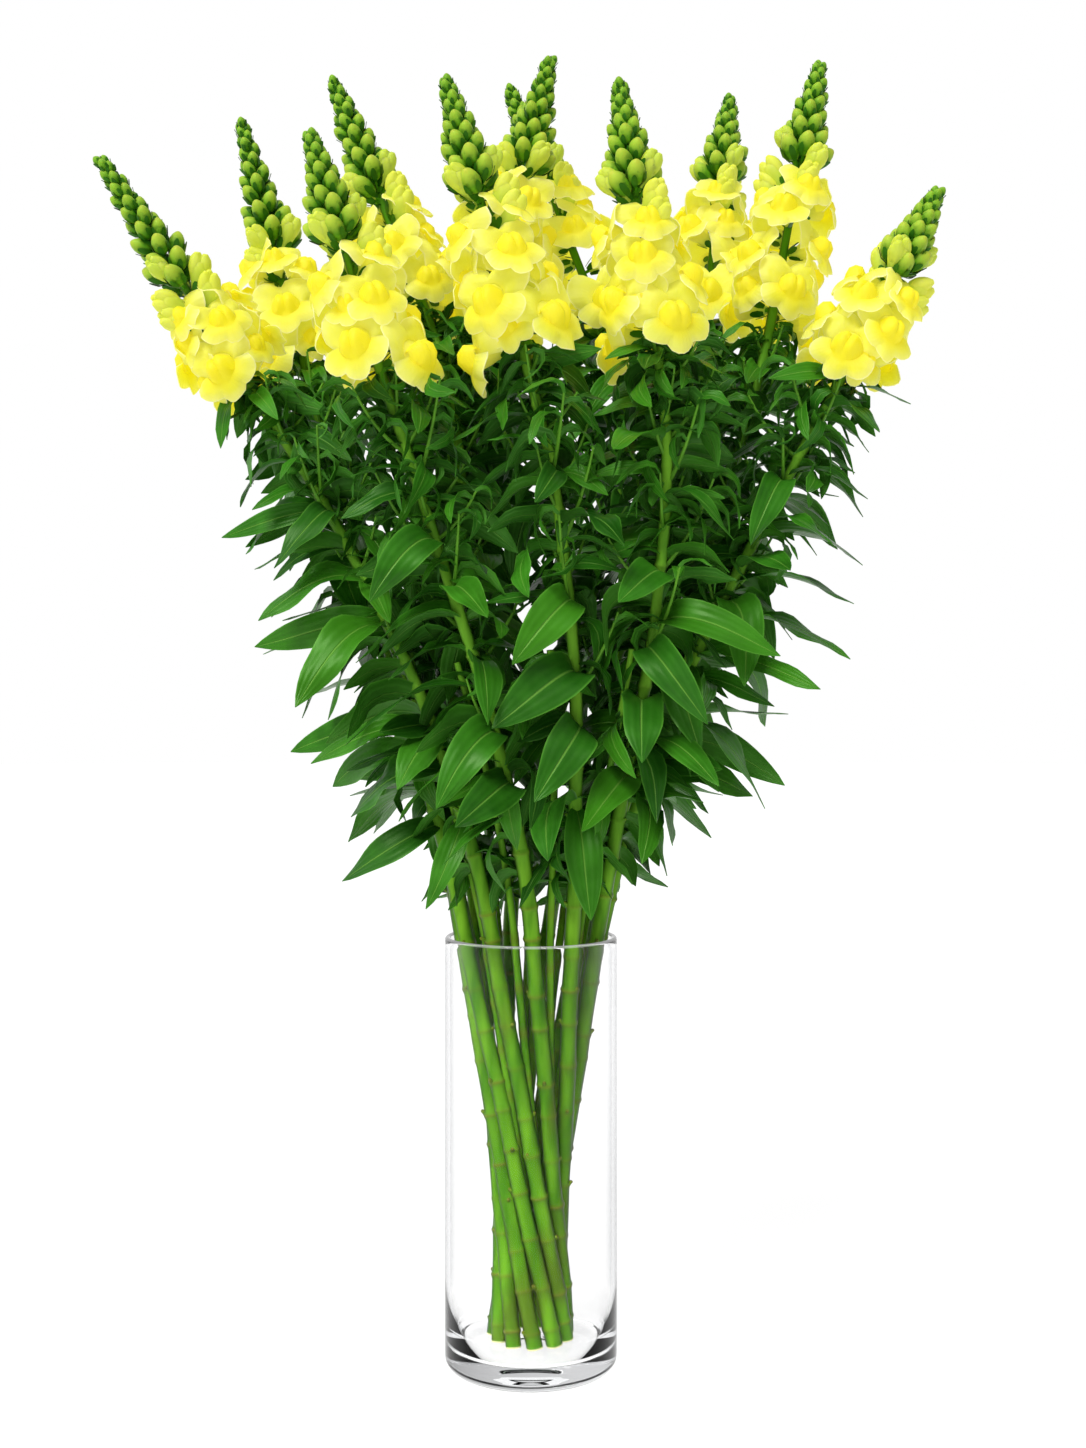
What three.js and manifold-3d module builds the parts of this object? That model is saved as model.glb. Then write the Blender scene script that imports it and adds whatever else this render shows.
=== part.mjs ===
// Eleven cut yellow snapdragon stems standing in a clear glass cylinder vase.
// Millimetres, +Z up, origin at the centre of the vase's flat underside, +Y away from the viewer.
// Each stem is one green solid: the cut stem, its leaves and the green buds of its spike.
// Its open flowers are one yellow solid, which rings the flower stalk and keeps a small gap to it.
import * as THREE from "three";
import Module from "manifold-3d";

const wasm = await Module();
wasm.setup();

const DEGREE = Math.PI / 180;
const GOLDEN_ANGLE = 137.5 * DEGREE;

// ---- Driving dimensions -------------------------------------------------------------------

// The rim swells into a bead: it starts this far below the top, and is widest higher up.
const VASE = { radius: 50, height: 250, wall: 3, floor: 13, corner: 6, innerCorner: 5, sides: 32 };
const BEAD = { out: 0.7, start: 5, widest: 1.6 };

// The stems cross in a spiral: each runs straight from its foot, round the waist, to the rim, and
// then bends up to its spike. bend = how long it keeps its first direction, as a share of that way.
const FOOT = { radius: 22, height: VASE.floor + 1.4 };
const RIM_RING = 41;
const TWIST = 102.6 * DEGREE;
const FIRST_RIM_ANGLE = 10 * DEGREE;
const STEM = { foot: 4.3, rim: 4.0, shoulder: 3.0, top: 1.7, sides: 6, bend: 0.36 };

// The core of a spike inside its green buds: radius low down and near the tip.
const CORE = { low: 4.6, high: 3.4, start: 6, end: 8 };

// One line for each stem, in their order round the rim, clockwise from the right:
// tip = top of the spike, lowest = where its lowest flower grows, buds = length of the spike still
// in green bud, flowers = how many are open.
const STEMS = [
  { number: 11, tip: [224, -60, 666], lowest: [176, -46, 572], buds: 52, flowers: 7 },
  { number: 8, tip: [48, -85, 718], lowest: [69, -75, 582], buds: 64, flowers: 9 },
  { number: 5, tip: [-45, -85, 720], lowest: [-4, -75, 578], buds: 66, flowers: 9 },
  { number: 3, tip: [-117, -95, 688], lowest: [-80, -80, 564], buds: 62, flowers: 8 },
  { number: 1, tip: [-241, -40, 690], lowest: [-163, -20, 570], buds: 88, flowers: 6 },
  { number: 2, tip: [-178, 60, 740], lowest: [-139, 50, 594], buds: 86, flowers: 7 },
  { number: 4, tip: [-117, 20, 752], lowest: [-62, 10, 615], buds: 78, flowers: 7 },
  { number: 7, tip: [11, 60, 778], lowest: [-23, 70, 632], buds: 72, flowers: 8 },
  { number: 6, tip: [-14, 120, 778], lowest: [43, 100, 628], buds: 72, flowers: 8 },
  { number: 9, tip: [125, 100, 766], lowest: [109, 75, 627], buds: 62, flowers: 8 },
  { number: 10, tip: [169, 10, 758], lowest: [139, 5, 603], buds: 66, flowers: 9 },
];

// Pairs run from the lowest to the highest flower or bud. Places are distances below the tip of the
// spike, counted from the lowest green bud, and angles are in degrees.
const FLOWERS = { size: [1.06, 0.86], rise: [2, 26], highest: 23, sizeSpread: 0.05, turnSpread: 0.15 };
const OPENING_BUDS = { count: 2, size: [1, 0.85], rise: [44, 50], lowest: 14, spacing: 7 };
const GREEN_BUDS = { count: 10, length: [20, 8], radius: [6.6, 3.3], rise: [40, 60], highest: 4 };

// Leaves grow from start to end of the stretch above the rim. width = half width as a share of the
// length. Pairs after it are the least and the most that a leaf may have.
const LEAVES = {
  count: 18,
  start: 0.23,
  end: 0.97,
  longest: 84,
  shortest: 48,
  keel: 1.5,
  width: [0.165, 0.15],
  lengthSpread: [0.84, 1.1],
  widthSpread: [0.88, 1.12],
  lean: [-42, 42],
  from: [38, 66],
  to: [118, 176],
};
const CLEARANCE = 0.8;
const BALL_STEP = 0.02;

// ---- Repeatable draws and vectors ---------------------------------------------------------

// The same number from 0 to 1 every time for the same stem, piece and use.
function draw(stem, piece, use) {
  let h = (stem * 7919 + piece * 104729 + use * 1299709 + 12345) >>> 0;
  h = Math.imul(h ^ (h >>> 15), 0x2c1b3c6d) >>> 0;
  h = Math.imul(h ^ (h >>> 12), 0x297a2d39) >>> 0;
  return ((h ^ (h >>> 15)) >>> 0) / 4294967296;
}

const between = (low, high, share) => low + (high - low) * share;
const vector = (x, y, z) => new THREE.Vector3(x, y, z);

// A point or direction, plus any number of [direction, length] steps.
function plus(start, ...steps) {
  const sum = start.clone();
  for (const [step, length] of steps) sum.addScaledVector(step, length);
  return sum;
}

const UP = vector(0, 0, 1);
const NOWHERE = vector(0, 0, 0);
const level = (azimuth) => vector(Math.cos(azimuth), Math.sin(azimuth), 0);

// ---- Stem paths ---------------------------------------------------------------------------

// A stem's centre line in three stretches: t from 0 to 1 inside the vase, 1 to 2 up through the
// leaves, 2 to 3 along the flower spike.
function makePath(stem, place) {
  const rimAngle = FIRST_RIM_ANGLE - (place * 2 * Math.PI) / STEMS.length;
  const foot = plus(NOWHERE, [level(rimAngle + TWIST), FOOT.radius], [UP, FOOT.height]);
  const rim = plus(NOWHERE, [level(rimAngle), RIM_RING], [UP, VASE.height]);
  const lowest = vector(...stem.lowest);
  const tip = vector(...stem.tip);
  const rise = rim.clone().sub(foot).normalize();
  const spike = tip.clone().sub(lowest);
  const pull = STEM.bend * rim.distanceTo(lowest);
  const middle = new THREE.CubicBezierCurve3(
    rim,
    plus(rim, [rise, pull]),
    plus(lowest, [spike.clone().normalize(), -pull]),
    lowest,
  );
  const point = (t) => {
    if (t <= 1) return foot.clone().lerp(rim, t);
    if (t < 2) return middle.getPoint(t - 1);
    return lowest.clone().lerp(tip, t - 2);
  };
  const direction = (t) => {
    if (t <= 1) return rise.clone();
    if (t < 2) return middle.getTangent(t - 1);
    return spike.clone().normalize();
  };
  return { point, direction, spikeLength: spike.length() };
}

// The t of the place on the spike this far below its tip.
const belowTip = (path, distance) => 3 - distance / path.spikeLength;

function stemRadius(t) {
  if (t <= 1) return between(STEM.foot, STEM.rim, t);
  if (t <= 2) return between(STEM.rim, STEM.shoulder, t - 1);
  return between(STEM.shoulder, STEM.top, t - 2);
}

// ---- Keeping neighbours clear of each other -----------------------------------------------

// Everything in place is stood for by balls with an owner. A new piece stays clear of all balls
// but those of the owners that it may touch.
const placed = [];
const ball = (centre, radius) => ({ centre, radius });

function isClear(balls, mayTouch) {
  return balls.every(({ centre, radius }) =>
    placed.every((other) => {
      const apart = radius + other.radius + CLEARANCE;
      return mayTouch.includes(other.owner) || centre.distanceTo(other.centre) > apart;
    }),
  );
}

function put(balls, owner) {
  for (const each of balls) placed.push({ ...each, owner });
}

// Makes a piece in one position after another and keeps the first that is clear.
function firstClear(tries, make, owner, mayTouch) {
  for (let attempt = 0; attempt < tries; attempt++) {
    const piece = make(attempt);
    if (isClear(piece.balls, mayTouch)) {
      put(piece.balls, owner);
      return piece;
    }
  }
  return null;
}

// To either side in turn: 0, 1, -1, 2, -2 and so on.
const swing = (attempt) => (attempt % 2 ? 1 : -1) * Math.ceil(attempt / 2);

// ---- The flower spike ---------------------------------------------------------------------

// Flowers, opening buds and green buds follow one golden-angle spiral up the spike.
const SPIKE_TURN = 1.9;
const spikeAzimuth = (stem, step) => stem.number * SPIKE_TURN + step * GOLDEN_ANGLE;

// A frame that grows out of the stem: out = away from it, up = along it, side = across.
function growthFrame(path, t, azimuth, elevation) {
  const along = path.direction(t);
  const outward = level(azimuth);
  const square = plus(outward, [along, -outward.dot(along)]).normalize();
  const out = plus(NOWHERE, [square, Math.cos(elevation)], [along, Math.sin(elevation)]);
  const up = plus(NOWHERE, [along, Math.cos(elevation)], [square, -Math.sin(elevation)]);
  const side = out.clone().cross(up);
  return { at: path.point(t), square, along, out, up, side, stemRadius: stemRadius(t) };
}

// A place in such a frame: distance out, then angle from upright and distance from the out axis.
function framePoint(frame, out, degrees, radius) {
  const across = radius * Math.sin(degrees * DEGREE);
  const upward = radius * Math.cos(degrees * DEGREE);
  return plus(frame.at, [frame.out, out], [frame.up, upward], [frame.side, across]);
}

// Lobes of an open flower that other pieces keep clear of: [out, angle, distance, ball radius].
const FLOWER_REACH = [
  [12, 0, 0, 5],
  [24, 0, 0, 9],
  [21, 40, 14, 6],
  [21, 320, 14, 6],
  [25, 124, 12, 6],
  [25, 236, 12, 6],
  [25, 180, 13, 6],
];

// A flower that is in the way of another turns aside in small steps, and is then lifted too.
const FLOWER_TRIES = { count: 15, turn: 0.14, level: 8, lift: 0.25 };

// The open flowers climb the spike. The low ones face sideways, the high ones a little upwards.
function placeFlowers(stem, path) {
  const { size: sizes, rise, highest, sizeSpread, turnSpread } = FLOWERS;
  const made = [];
  for (let k = 0; k < stem.flowers; k++) {
    const share = k / (stem.flowers - 1);
    const t = belowTip(path, between(path.spikeLength - 3, stem.buds + highest, share));
    const spread = between(1 - sizeSpread, 1 + sizeSpread, draw(stem.number, k, 1));
    const size = between(...sizes, share) * spread;
    const turn = between(-turnSpread, turnSpread, draw(stem.number, k, 2));
    const azimuth = spikeAzimuth(stem, k) + turn;
    const elevation = between(...rise, share) * DEGREE;
    const make = (attempt) => {
      const lift = elevation + (attempt > FLOWER_TRIES.level ? FLOWER_TRIES.lift : 0);
      const frame = growthFrame(path, t, azimuth + swing(attempt) * FLOWER_TRIES.turn, lift);
      const balls = FLOWER_REACH.map(([out, angle, distance, radius]) =>
        ball(framePoint(frame, out * size, angle, distance * size), radius * size),
      );
      return { ...frame, size, balls };
    };
    const owner = "flowers" + stem.number;
    const flower = firstClear(FLOWER_TRIES.count, make, owner, [owner, "spike" + stem.number]);
    if (flower) made.push(flower);
  }
  return made;
}

// Two buds between the flowers and the green ones already show yellow.
function placeOpeningBuds(stem, path) {
  const { count, size, rise, lowest, spacing } = OPENING_BUDS;
  return Array.from({ length: count }, (_, n) => {
    const t = belowTip(path, stem.buds + lowest - spacing * n);
    const azimuth = spikeAzimuth(stem, stem.flowers + n);
    const frame = growthFrame(path, t, azimuth, between(...rise, n) * DEGREE);
    return { ...frame, size: between(...size, n) };
  });
}

// Green buds get smaller, closer and more upright towards the tip. share = 0 low down, 1 at the tip.
function placeGreenBuds(stem, path) {
  const { count, rise, highest } = GREEN_BUDS;
  return Array.from({ length: count }, (_, n) => {
    const share = n / count;
    const t = belowTip(path, between(highest, stem.buds, Math.pow(1 - share, 1.1)));
    const azimuth = spikeAzimuth(stem, stem.flowers + OPENING_BUDS.count + n);
    return { ...growthFrame(path, t, azimuth, between(...rise, share) * DEGREE), share };
  });
}

// ---- The leaves ---------------------------------------------------------------------------

// A leaf arches over in one plane, mostly near its root, and hangs towards its tip. from and to are
// its direction at root and tip, as angles from straight up, and lean tilts that plane sideways.
const leafAngle = (leaf, t) => leaf.from + (leaf.to - leaf.from) * (1 - Math.pow(1 - t, 2.2));

// Its midrib at t, reached in short steps.
const MIDRIB_STEPS = 16;

function leafPoint(leaf, t) {
  const step = (leaf.length * t) / MIDRIB_STEPS;
  let outward = 0;
  let upward = 0;
  for (let i = 0; i < MIDRIB_STEPS; i++) {
    const angle = leafAngle(leaf, (t * (i + 0.5)) / MIDRIB_STEPS);
    outward += step * Math.sin(angle);
    upward += step * Math.cos(angle);
  }
  return plus(leaf.root, [leaf.outward, outward], [leaf.upward, upward]);
}

// The direction that the upper face of a leaf looks in, at t.
function leafFace(leaf, t) {
  const angle = leafAngle(leaf, t);
  return plus(NOWHERE, [leaf.upward, Math.sin(angle)], [leaf.outward, -Math.cos(angle)]);
}

// Lance-shaped: this share of the full half width at t, widest a little below the middle.
const leafWidth = (t) => Math.pow(Math.sin(Math.PI * Math.pow(t, 0.85)), 0.9);

// The outer part of a leaf is stood for by balls at these places along it.
const LEAF_BALLS = [0.3, 0.42, 0.54, 0.66, 0.78, 0.9, 1];

function makeLeaf(root, azimuth, lean, length, halfWidth, from, to) {
  const outward = level(azimuth);
  const flat = level(azimuth - Math.PI / 2);
  const side = plus(NOWHERE, [flat, Math.cos(lean)], [UP, Math.sin(lean)]);
  const upward = plus(NOWHERE, [flat, -Math.sin(lean)], [UP, Math.cos(lean)]);
  const leaf = { root, outward, upward, side, length, halfWidth, from, to };
  leaf.balls = LEAF_BALLS.map((t) =>
    ball(leafPoint(leaf, t), 1.2 + 0.8 * halfWidth * leafWidth(Math.min(t, 0.97))),
  );
  return leaf;
}

// A leaf that is in the way of another turns aside in steps, and then does so smaller and more bent.
const LEAF_TRIES = { count: 20, turn: 0.4, round: 10, shorter: 0.7, bend: 0.25 };

// Leaves follow a golden-angle spiral up the stem and get smaller and slimmer near the flowers.
function placeLeaves(stem, path) {
  const made = [];
  for (let n = 0; n < LEAVES.count; n++) {
    const share = n / (LEAVES.count - 1);
    const root = path.point(1 + between(LEAVES.start, LEAVES.end, share));
    const random = (low, high, use) => between(low, high, draw(stem.number, n, use));
    const full = between(LEAVES.longest, LEAVES.shortest, share * share);
    const length = full * random(...LEAVES.lengthSpread, 11);
    const halfWidth = full * between(...LEAVES.width, share) * random(...LEAVES.widthSpread, 12);
    const azimuth = stem.number + n * GOLDEN_ANGLE;
    const lean = random(...LEAVES.lean, 13) * DEGREE;
    const from = random(...LEAVES.from, 14) * DEGREE;
    const to = random(...LEAVES.to, 15) * DEGREE;
    const make = (attempt) => {
      const again = attempt >= LEAF_TRIES.round;
      const size = again ? LEAF_TRIES.shorter : 1;
      const turned = azimuth + swing(attempt % LEAF_TRIES.round) * LEAF_TRIES.turn;
      const bent = to + (again ? LEAF_TRIES.bend : 0);
      return makeLeaf(root, turned, lean, length * size, halfWidth * size, from, bent);
    };
    const leaf = firstClear(LEAF_TRIES.count, make, "leaf", ["stem" + stem.number]);
    if (leaf) made.push(leaf);
  }
  return made;
}

// ---- Closed solids ------------------------------------------------------------------------

// Triangles between two neighbouring rings of corners, the first one lower. The second has as
// many corners, twice or half as many, and a ring of one corner is a point.
function bridge(a, b) {
  const next = (ring, i) => ring[(i + 1) % ring.length];
  if (a.length === 1) return b.map((corner, i) => [a[0], next(b, i), corner]);
  if (a.length > b.length) return bridge(b, a).map(([p, q, r]) => [p, r, q]);
  if (a.length === b.length)
    return a.flatMap((corner, i) => [
      [corner, next(a, i), next(b, i)],
      [corner, next(b, i), b[i]],
    ]);
  return a.flatMap((corner, i) => [
    [corner, b[2 * i + 1], b[2 * i]],
    [corner, next(a, i), b[2 * i + 1]],
    [next(a, i), next(b, 2 * i + 1), b[2 * i + 1]],
  ]);
}

// A closed solid through rings of points, with its end rings capped and its faces outwards.
function loft(rings) {
  const points = rings.flat();
  let count = 0;
  const corners = rings.map((ring) => ring.map(() => count++));
  const fan = (ring) => ring.slice(2).map((corner, i) => [ring[0], ring[i + 1], corner]);
  const triangles = [
    ...fan(corners[0].toReversed()),
    ...corners.slice(1).flatMap((ring, i) => bridge(corners[i], ring)),
    ...fan(corners[corners.length - 1]),
  ];
  const volume = triangles.reduce(
    (sum, [p, q, r]) => sum + points[p].dot(points[q].clone().cross(points[r])),
    0,
  );
  const outwards = volume > 0 ? triangles : triangles.map((triangle) => triangle.toReversed());
  return new wasm.Manifold(
    new wasm.Mesh({
      numProp: 3,
      vertProperties: new Float32Array(points.flatMap((p) => p.toArray())),
      triVerts: new Uint32Array(outwards.flat()),
    }),
  );
}

// A ring of points square to the stem at t.
function stemRing(path, t, radius) {
  const along = path.direction(t);
  const across = plus(vector(1, 0, 0), [along, -along.x]).normalize();
  const back = along.clone().cross(across);
  return Array.from({ length: STEM.sides }, (_, i) => {
    const angle = (i * 2 * Math.PI) / STEM.sides;
    const steps = [
      [across, radius * Math.cos(angle)],
      [back, radius * Math.sin(angle)],
    ];
    return plus(path.point(t), ...steps);
  });
}

// The stem thickens into a slim core where the green buds sit close, and ends in a bud at its tip.
const BENT_STATIONS = [1, 1.17, 1.34, 1.5, 1.66, 1.83, 2];

function stemSolid(stem, path) {
  const stations = [0, ...BENT_STATIONS, belowTip(path, stem.buds + 1)];
  return loft([
    ...stations.map((t) => stemRing(path, t, stemRadius(t))),
    stemRing(path, belowTip(path, stem.buds - CORE.start), CORE.low),
    stemRing(path, belowTip(path, CORE.end), CORE.high),
    [path.point(3)],
  ]);
}

// The bases of the flowers meet in a thin ring round the stalk, a small gap away from it. start = t
// of its lower end, below = how far it ends below the green buds, over = how far its bore runs on.
const RING = { gap: 0.4, wall: 1.4, start: 2.02, below: 3, over: 0.02 };

function flowerRing(stem, path) {
  const ends = [RING.start, belowTip(path, stem.buds + RING.below)];
  const bored = [RING.start - RING.over, ends[1] + RING.over];
  const outer = loft(ends.map((t) => stemRing(path, t, stemRadius(t) + RING.gap + RING.wall)));
  const bore = loft(bored.map((t) => stemRing(path, t, stemRadius(t) + RING.gap)));
  return outer.subtract(bore);
}

// The root of a flower: corners set in the wall of that ring.
const ROOT_RADIUS = 1.7;

function flowerRoot(frame, angles) {
  const depth = frame.stemRadius + RING.gap + 0.4 * RING.wall;
  return angles.map((angle) => {
    const upward = ROOT_RADIUS * Math.cos(angle * DEGREE);
    const across = ROOT_RADIUS * Math.sin(angle * DEGREE);
    return plus(frame.at, [frame.square, depth], [frame.along, upward], [frame.side, across]);
  });
}

// Rings of an open flower of size 1. The tube widens to two broad upper lobes that bend back and
// three lower ones, all as [angle from upright, distance from the axis, distance out].
const QUARTERS = [0, 84, 180, 276];
const THROAT = QUARTERS.map((angle) => [angle, 6.5, 16]);
const LIP_EDGE = [
  [0, 12.5, 23],
  [40, 19.5, 19],
  [84, 12, 22],
  [124, 17, 25],
  [180, 19, 25],
  [236, 17, 25],
  [276, 12, 22],
  [320, 19.5, 19],
];
const PALATE_EDGE = [
  [0, 4.5, 22],
  [84, 8, 26],
  [180, 9, 31],
  [276, 8, 26],
];
const PALATE_TOP = [[180, 2, 33]];

function flowerSolid(flower) {
  const { size } = flower;
  const rings = [THROAT, LIP_EDGE, PALATE_EDGE, PALATE_TOP].map((corners) =>
    corners.map(([angle, radius, out]) => framePoint(flower, out * size, angle, radius * size)),
  );
  return loft([flowerRoot(flower, QUARTERS), ...rings]);
}

// Buds are widest at one ring of corners. Opening ones bend up a little at their tip.
const BUD_SIDES = [0, 90, 180, 270];
const OPENING_SHAPE = { radius: 5, widest: 15, length: 23, bend: 2 };
const GREEN_SHAPE = { start: 0.4, widest: 0.62 };

function openingBudSolid(bud) {
  const { radius, widest, length, bend } = OPENING_SHAPE;
  return loft([
    flowerRoot(bud, BUD_SIDES),
    BUD_SIDES.map((angle) => framePoint(bud, widest * bud.size, angle, radius * bud.size)),
    [framePoint(bud, length * bud.size, 0, bend)],
  ]);
}

function greenBudSolid(bud) {
  const length = between(...GREEN_BUDS.length, bud.share);
  const radius = between(...GREEN_BUDS.radius, bud.share);
  return loft([
    [framePoint(bud, GREEN_SHAPE.start, 0, 0)],
    BUD_SIDES.map((angle) => framePoint(bud, length * GREEN_SHAPE.widest, angle, radius)),
    [framePoint(bud, length, 0, 0)],
  ]);
}

// A blade flat on top with a keel along its midrib below, pointed at its root and tip.
const LEAF_STATIONS = [0.2, 0.46, 0.75];

function leafSolid(leaf) {
  const rings = LEAF_STATIONS.map((t) => {
    const middle = leafPoint(leaf, t);
    const half = leaf.halfWidth * leafWidth(t);
    return [
      plus(middle, [leaf.side, -half]),
      plus(middle, [leafFace(leaf, t), -LEAVES.keel]),
      plus(middle, [leaf.side, half]),
    ];
  });
  return loft([[leafPoint(leaf, 0)], ...rings, [leafPoint(leaf, 1)]]);
}

// ---- The vase -----------------------------------------------------------------------------

// A straight glass cylinder with a thick floor, a rounded foot and a fire-polished rim.
function vaseGeometry() {
  const { radius, height, wall, floor, corner, innerCorner, sides } = VASE;
  const inner = radius - wall;
  const cut = 0.3 * corner;
  const profile = [
    [0, 0],
    [radius - corner, 0],
    [radius - cut, cut],
    [radius, corner],
    [radius, height - BEAD.start],
    [radius + BEAD.out, height - BEAD.widest],
    [radius - 0.5 * wall, height],
    [inner, height - wall],
    [inner, floor + innerCorner],
    [inner - innerCorner, floor],
    [0, floor],
  ];
  const outline = profile.map(([r, z]) => new THREE.Vector2(r, z));
  return new THREE.LatheGeometry(outline, sides).rotateX(Math.PI / 2);
}

// ---- Assembly -----------------------------------------------------------------------------

function unionGeometry(solids) {
  const { vertProperties, triVerts } = wasm.Manifold.union(solids).getMesh();
  const geometry = new THREE.BufferGeometry();
  geometry.setAttribute("position", new THREE.BufferAttribute(vertProperties, 3));
  geometry.setIndex(new THREE.BufferAttribute(triVerts, 1));
  geometry.computeVertexNormals();
  return geometry;
}

const bunch = new THREE.Group();

function add(name, geometry, material) {
  const made = new THREE.Mesh(geometry, material);
  made.name = name;
  bunch.add(made);
}

const glass = new THREE.MeshStandardMaterial({ color: 0xf2f6f6, roughness: 0.05 });
glass.transparent = true;
glass.opacity = 0.3;
add("glass_vase", vaseGeometry(), glass);

const paths = STEMS.map(makePath);
STEMS.forEach((stem, i) => {
  for (let t = 1; t < 3; t += BALL_STEP) {
    const owner = (t < 2 ? "stem" : "spike") + stem.number;
    put([ball(paths[i].point(t), stemRadius(t))], owner);
  }
});
const flowers = STEMS.map((stem, i) => placeFlowers(stem, paths[i]));
const leaves = STEMS.map((stem, i) => placeLeaves(stem, paths[i]));

STEMS.forEach((stem, i) => {
  const label = String(stem.number).padStart(2, "0");
  const green = new THREE.MeshStandardMaterial({ color: 0x2c7a1c, roughness: 0.5 });
  const yellow = new THREE.MeshStandardMaterial({ color: 0xf6e84a, roughness: 0.6 });
  const greenSolids = [
    stemSolid(stem, paths[i]),
    ...placeGreenBuds(stem, paths[i]).map(greenBudSolid),
    ...leaves[i].map(leafSolid),
  ];
  const yellowSolids = [
    flowerRing(stem, paths[i]),
    ...placeOpeningBuds(stem, paths[i]).map(openingBudSolid),
    ...flowers[i].map(flowerSolid),
  ];
  add("leafy_stem_" + label, unionGeometry(greenSolids), green);
  add("open_flowers_" + label, unionGeometry(yellowSolids), yellow);
});

export default bunch;
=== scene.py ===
import math
from itertools import count
from types import SimpleNamespace

import bpy
import numpy as np
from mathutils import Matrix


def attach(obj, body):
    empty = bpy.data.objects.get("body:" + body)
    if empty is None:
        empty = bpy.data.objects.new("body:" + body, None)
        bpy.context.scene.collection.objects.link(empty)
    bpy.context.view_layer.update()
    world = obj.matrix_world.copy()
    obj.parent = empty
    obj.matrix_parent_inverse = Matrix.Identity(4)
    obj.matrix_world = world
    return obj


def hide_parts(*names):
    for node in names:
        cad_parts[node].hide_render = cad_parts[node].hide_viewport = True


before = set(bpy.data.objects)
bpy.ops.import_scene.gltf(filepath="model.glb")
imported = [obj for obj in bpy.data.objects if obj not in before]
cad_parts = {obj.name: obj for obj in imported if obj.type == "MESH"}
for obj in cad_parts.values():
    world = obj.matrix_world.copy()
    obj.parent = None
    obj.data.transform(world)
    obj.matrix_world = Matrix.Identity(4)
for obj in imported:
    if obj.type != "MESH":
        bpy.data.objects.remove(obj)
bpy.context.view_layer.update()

# ---- Camera ---------------------------------------------------------------------------------
# A level camera stands in front of the bunch at half its height. Its lens is shifted down a
# little, so that the foot of the vase and the tips of the spikes are both in view.
MM = 0.001
EYE_PLACE = (7, -1129, 395)
EYE_LENS = 48.28
EYE_SENSOR = 36
EYE_SHIFT = -0.0262

lens = bpy.data.cameras.new("eye")
lens.sensor_fit = "VERTICAL"
lens.sensor_height = EYE_SENSOR
lens.lens = EYE_LENS
lens.shift_y = EYE_SHIFT
eye = bpy.data.objects.new("eye", lens)
eye.location = [MM * x for x in EYE_PLACE]
eye.rotation_euler = (math.radians(90), 0, 0)
bpy.context.scene.collection.objects.link(eye)
bpy.context.scene.camera = eye

# ---- Floor and studio light -----------------------------------------------------------------
# A wide floor of pale acrylic lit from below, a white wall behind, and one big soft lamp high up at
# the front left. The room is bright above and at the left and dim at the front right. Colours are
# shown as they are, without a film look.
FLOOR_RADIUS, FLOOR_SIDES = 9.0, 96
FLOOR_DEPTH = 0.0004
FLOOR_PAINT = ("#6a6a6a", "#727272")
FLOOR_GLOW = 0.9
ROOM_LIGHT = (0.12, 0.72)
ROOM_BRIGHT_SIDE = (-0.62, 0.45, 0.64)
LAMP_STRENGTH = 2.7
LAMP_SPREAD = math.radians(32)
LAMP_TILT = (math.radians(42), 0, math.radians(-28))
WHITE, BLACK = (1, 1, 1, 1), (0, 0, 0, 1)


def colour(code):
    """The red, green, blue and alpha of a web colour code, as light strengths."""
    shades = [int(code[i : i + 2], 16) / 255 for i in (1, 3, 5)]
    return [((s + 0.055) / 1.055) ** 2.4 if s > 0.04045 else s / 12.92 for s in shades] + [1]


def feed(tree, node, inputs):
    """Gives a node its inputs. Each takes a value or another node's output."""
    for name, value in inputs.items():
        if isinstance(value, bpy.types.NodeSocket):
            tree.links.new(value, node.inputs[name])
        else:
            node.inputs[name].default_value = value


def add_node(tree, kind, inputs, **settings):
    """A shader node with its settings and inputs."""
    made = tree.nodes.new("ShaderNode" + kind)
    for name, value in settings.items():
        setattr(made, name, value)
    feed(tree, made, inputs)
    return made


def mix(tree, share, first, second):
    """The colour that lies this share of the way from the first to the second."""
    return add_node(tree, "Mix", {0: share, 6: first, 7: second}, data_type="RGBA").outputs[2]


def reckon(tree, operation, first, second=0.0, third=0.0):
    """One step of arithmetic in a material."""
    inputs = {0: first, 1: second, 2: third}
    return add_node(tree, "Math", inputs, operation=operation).outputs[0]


def ramp(tree, value, low, high, start=0.0, end=1.0):
    """A value from low to high turned into one from start to end, and held there outside."""
    inputs = {"Value": value, "From Min": low, "From Max": high, "To Min": start, "To Max": end}
    return add_node(tree, "MapRange", inputs).outputs["Result"]


def new_material(name):
    """A material, its node tree and its one shader."""
    made = bpy.data.materials.new(name)
    made.use_nodes = True
    return made, made.node_tree, made.node_tree.nodes["Principled BSDF"]


def new_effect(name, inputs, outputs):
    """An empty effect that several materials share, with the nodes at its two ends."""
    group = bpy.data.node_groups.new(name, "ShaderNodeTree")
    for label, kind in inputs.items():
        group.interface.new_socket(label, in_out="INPUT", socket_type="NodeSocket" + kind)
    for label, kind in outputs.items():
        group.interface.new_socket(label, in_out="OUTPUT", socket_type="NodeSocket" + kind)
    return group, group.nodes.new("NodeGroupInput"), group.nodes.new("NodeGroupOutput")


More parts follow.
